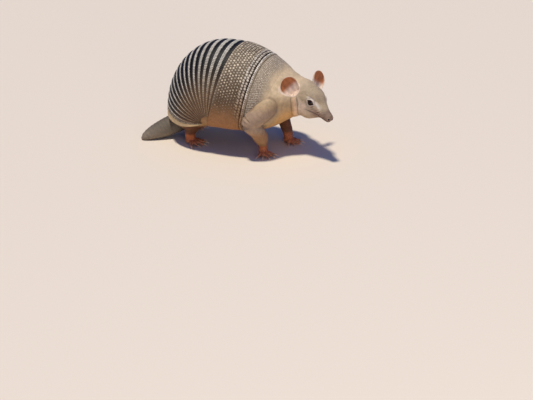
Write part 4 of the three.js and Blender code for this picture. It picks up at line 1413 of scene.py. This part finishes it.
def node_material(name, roughness, bumps, mottle_scale, mottle_share, shine=0.35):
    """A mesh's Tint with mottling, and bumps of noise and cells, each with its scale and strength."""
    material, shader = new_material(name, Specular_IOR_Level=shine)
    link = material.node_tree.links.new
    tint = add_node(material, "ShaderNodeAttribute")
    tint.attribute_name = "Tint"
    where = add_node(material, "ShaderNodeTexCoord").outputs["Object"]
    mottle = add_node(material, "ShaderNodeTexNoise", Scale=mottle_scale, Detail=6.0, Roughness=0.6)
    link(where, mottle.inputs["Vector"])
    span = add_node(material, "ShaderNodeMapRange", From_Min=0.3, From_Max=0.7,
                    To_Min=1 - mottle_share, To_Max=1 + mottle_share * 0.6)
    link(mottle.outputs["Fac"], span.inputs["Value"])
    scaled = add_node(material, "ShaderNodeVectorMath")
    scaled.operation = "SCALE"
    link(tint.outputs["Color"], scaled.inputs[0])
    link(span.outputs["Result"], scaled.inputs["Scale"])
    link(scaled.outputs["Vector"], shader.inputs["Base Color"])
    rough = add_node(material, "ShaderNodeMapRange", To_Min=roughness - 0.1, To_Max=roughness + 0.1)
    link(mottle.outputs["Fac"], rough.inputs["Value"])
    link(rough.outputs["Result"], shader.inputs["Roughness"])
    normal = shader.inputs["Normal"]
    for kind, scale, strength in reversed(bumps):
        if kind == "cells":
            texture = add_node(material, "ShaderNodeTexVoronoi", Scale=scale)
            texture.feature = "DISTANCE_TO_EDGE"
        else:
            texture = add_node(material, "ShaderNodeTexNoise", Scale=scale, Detail=5.0)
        link(where, texture.inputs["Vector"])
        bump = add_node(material, "ShaderNodeBump", Strength=strength, Distance=0.0006)
        link(texture.outputs["Distance" if kind == "cells" else "Fac"], bump.inputs["Height"])
        link(bump.outputs["Normal"], normal)
        normal = bump.inputs["Normal"]
    return material


SKIN_BUMPS = [("noise", 900, 0.5), ("cells", 700, 0.35)]
SHELL_BUMPS = [("noise", 1100, 0.4), ("noise", 500, 0.25)]
skin_material = node_material("armadillo_skin", 0.68, SKIN_BUMPS, 160, 0.16)
shell_material = node_material("armadillo_shell", 0.5, SHELL_BUMPS, 220, 0.14, shine=0.2)
claw_material = node_material("armadillo_claw", 0.38, [("noise", 1600, 0.2)], 400, 0.12)
eye_material = node_material("armadillo_eye", 0.14, [], 900, 0.1, shine=0.3)


def dress(piece, material, nodes):
    piece.data.materials.clear()
    piece.data.materials.append(material)
    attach(piece, "root")
    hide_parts(*nodes)


# ---------------------------------------------------------------- the animal

for number in range(BAND_COUNT):
    node = f"band_{number + 1:02d}"
    dress(build_band(number, node + "_shell"), shell_material, [node])
dress(build_middle(), shell_material, ["middle_shield"])
dress(build_collar(), shell_material, ["collar"])
dress(build_shoulder(), shell_material, ["shoulder_shield"])
dress(build_cap(), shell_material, ["head_shield"])
for side, name in ((-1, "eye_right"), (1, "eye_left")):
    dress(build_eye(side, name + "_ball"), eye_material, [name])
claw_nodes = [f"{leg[0]}_claw_{number + 1}" for leg in LEGS for number in range(TOE_COUNT)]
dress(build_claws(), claw_material, claw_nodes)
flesh_nodes = ["head", "ear_right", "ear_left", "neck", "trunk", "tail"]
flesh_nodes += ["foreleg_right", "foreleg_left", "hindleg_right", "hindleg_left"]
flesh_nodes += [leg[0] for leg in LEGS]
dress(build_skin(), skin_material, flesh_nodes)

# ---------------------------------------------------------------- floor, light and camera


def add_floor():
    bpy.ops.mesh.primitive_plane_add(size=40, location=(0, 0, 0))
    floor = bpy.context.object
    floor.name = "floor"
    pale, _ = new_material("pale_floor", Base_Color=(*tone(226, 212, 193), 1), Roughness=0.9,
                           Specular_IOR_Level=0.2)
    floor.data.materials.append(pale)


def add_light(name, kind, place_at, power, colour, **settings):
    """A light that points at the animal and isn't seen itself."""
    data = bpy.data.lights.new(name, kind)
    data.energy = power
    data.color = colour
    for setting, value in settings.items():
        setattr(data, setting, value)
    light = bpy.data.objects.new(name, data)
    light.visible_camera = False
    light.location = place_at
    way = Vector((0, 0, LIGHT_AIM)) - Vector(place_at)
    light.rotation_euler = way.to_track_quat("-Z", "Y").to_euler()
    bpy.context.scene.collection.objects.link(light)


def add_world():
    """A pale studio: a light backdrop to the camera, a dimmer and cooler fill to everything else."""
    world = bpy.data.worlds.new("studio")
    world.use_nodes = True
    nodes, links = world.node_tree.nodes, world.node_tree.links
    fill = nodes["Background"]
    set_inputs(fill, Color=(*tone(104, 152, 255), 1), Strength=0.34)
    backdrop = nodes.new("ShaderNodeBackground")
    set_inputs(backdrop, Color=(*tone(232, 222, 208), 1))
    rays = nodes.new("ShaderNodeLightPath")
    either = nodes.new("ShaderNodeMixShader")
    links.new(rays.outputs["Is Camera Ray"], either.inputs["Fac"])
    links.new(fill.outputs["Background"], either.inputs[1])
    links.new(backdrop.outputs["Background"], either.inputs[2])
    links.new(either.outputs["Shader"], nodes["World Output"].inputs["Surface"])
    bpy.context.scene.world = world


def add_camera():
    data = bpy.data.cameras.new("camera")
    data.lens = CAMERA_LENS
    data.sensor_width = 36
    data.clip_start = 0.1
    data.clip_end = 60
    camera = bpy.data.objects.new("camera", data)
    camera.location = ORIGIN + Vector(CAMERA_FROM_BACK)
    camera.rotation_euler = (math.radians(90 - CAMERA_DROP), 0, math.radians(CAMERA_AZIMUTH))
    bpy.context.scene.collection.objects.link(camera)
    bpy.context.scene.camera = camera


add_floor()
add_light("key", "SUN", (-0.20, -0.42, 2.3), 3.15, (1.0, 0.94, 0.82), angle=math.radians(7))
add_light("front", "AREA", (1.8, -2.3, 0.40), 17, (1.0, 0.95, 0.88), size=0.7)
add_camera()
add_world()
bpy.context.scene.view_settings.view_transform = "Standard"
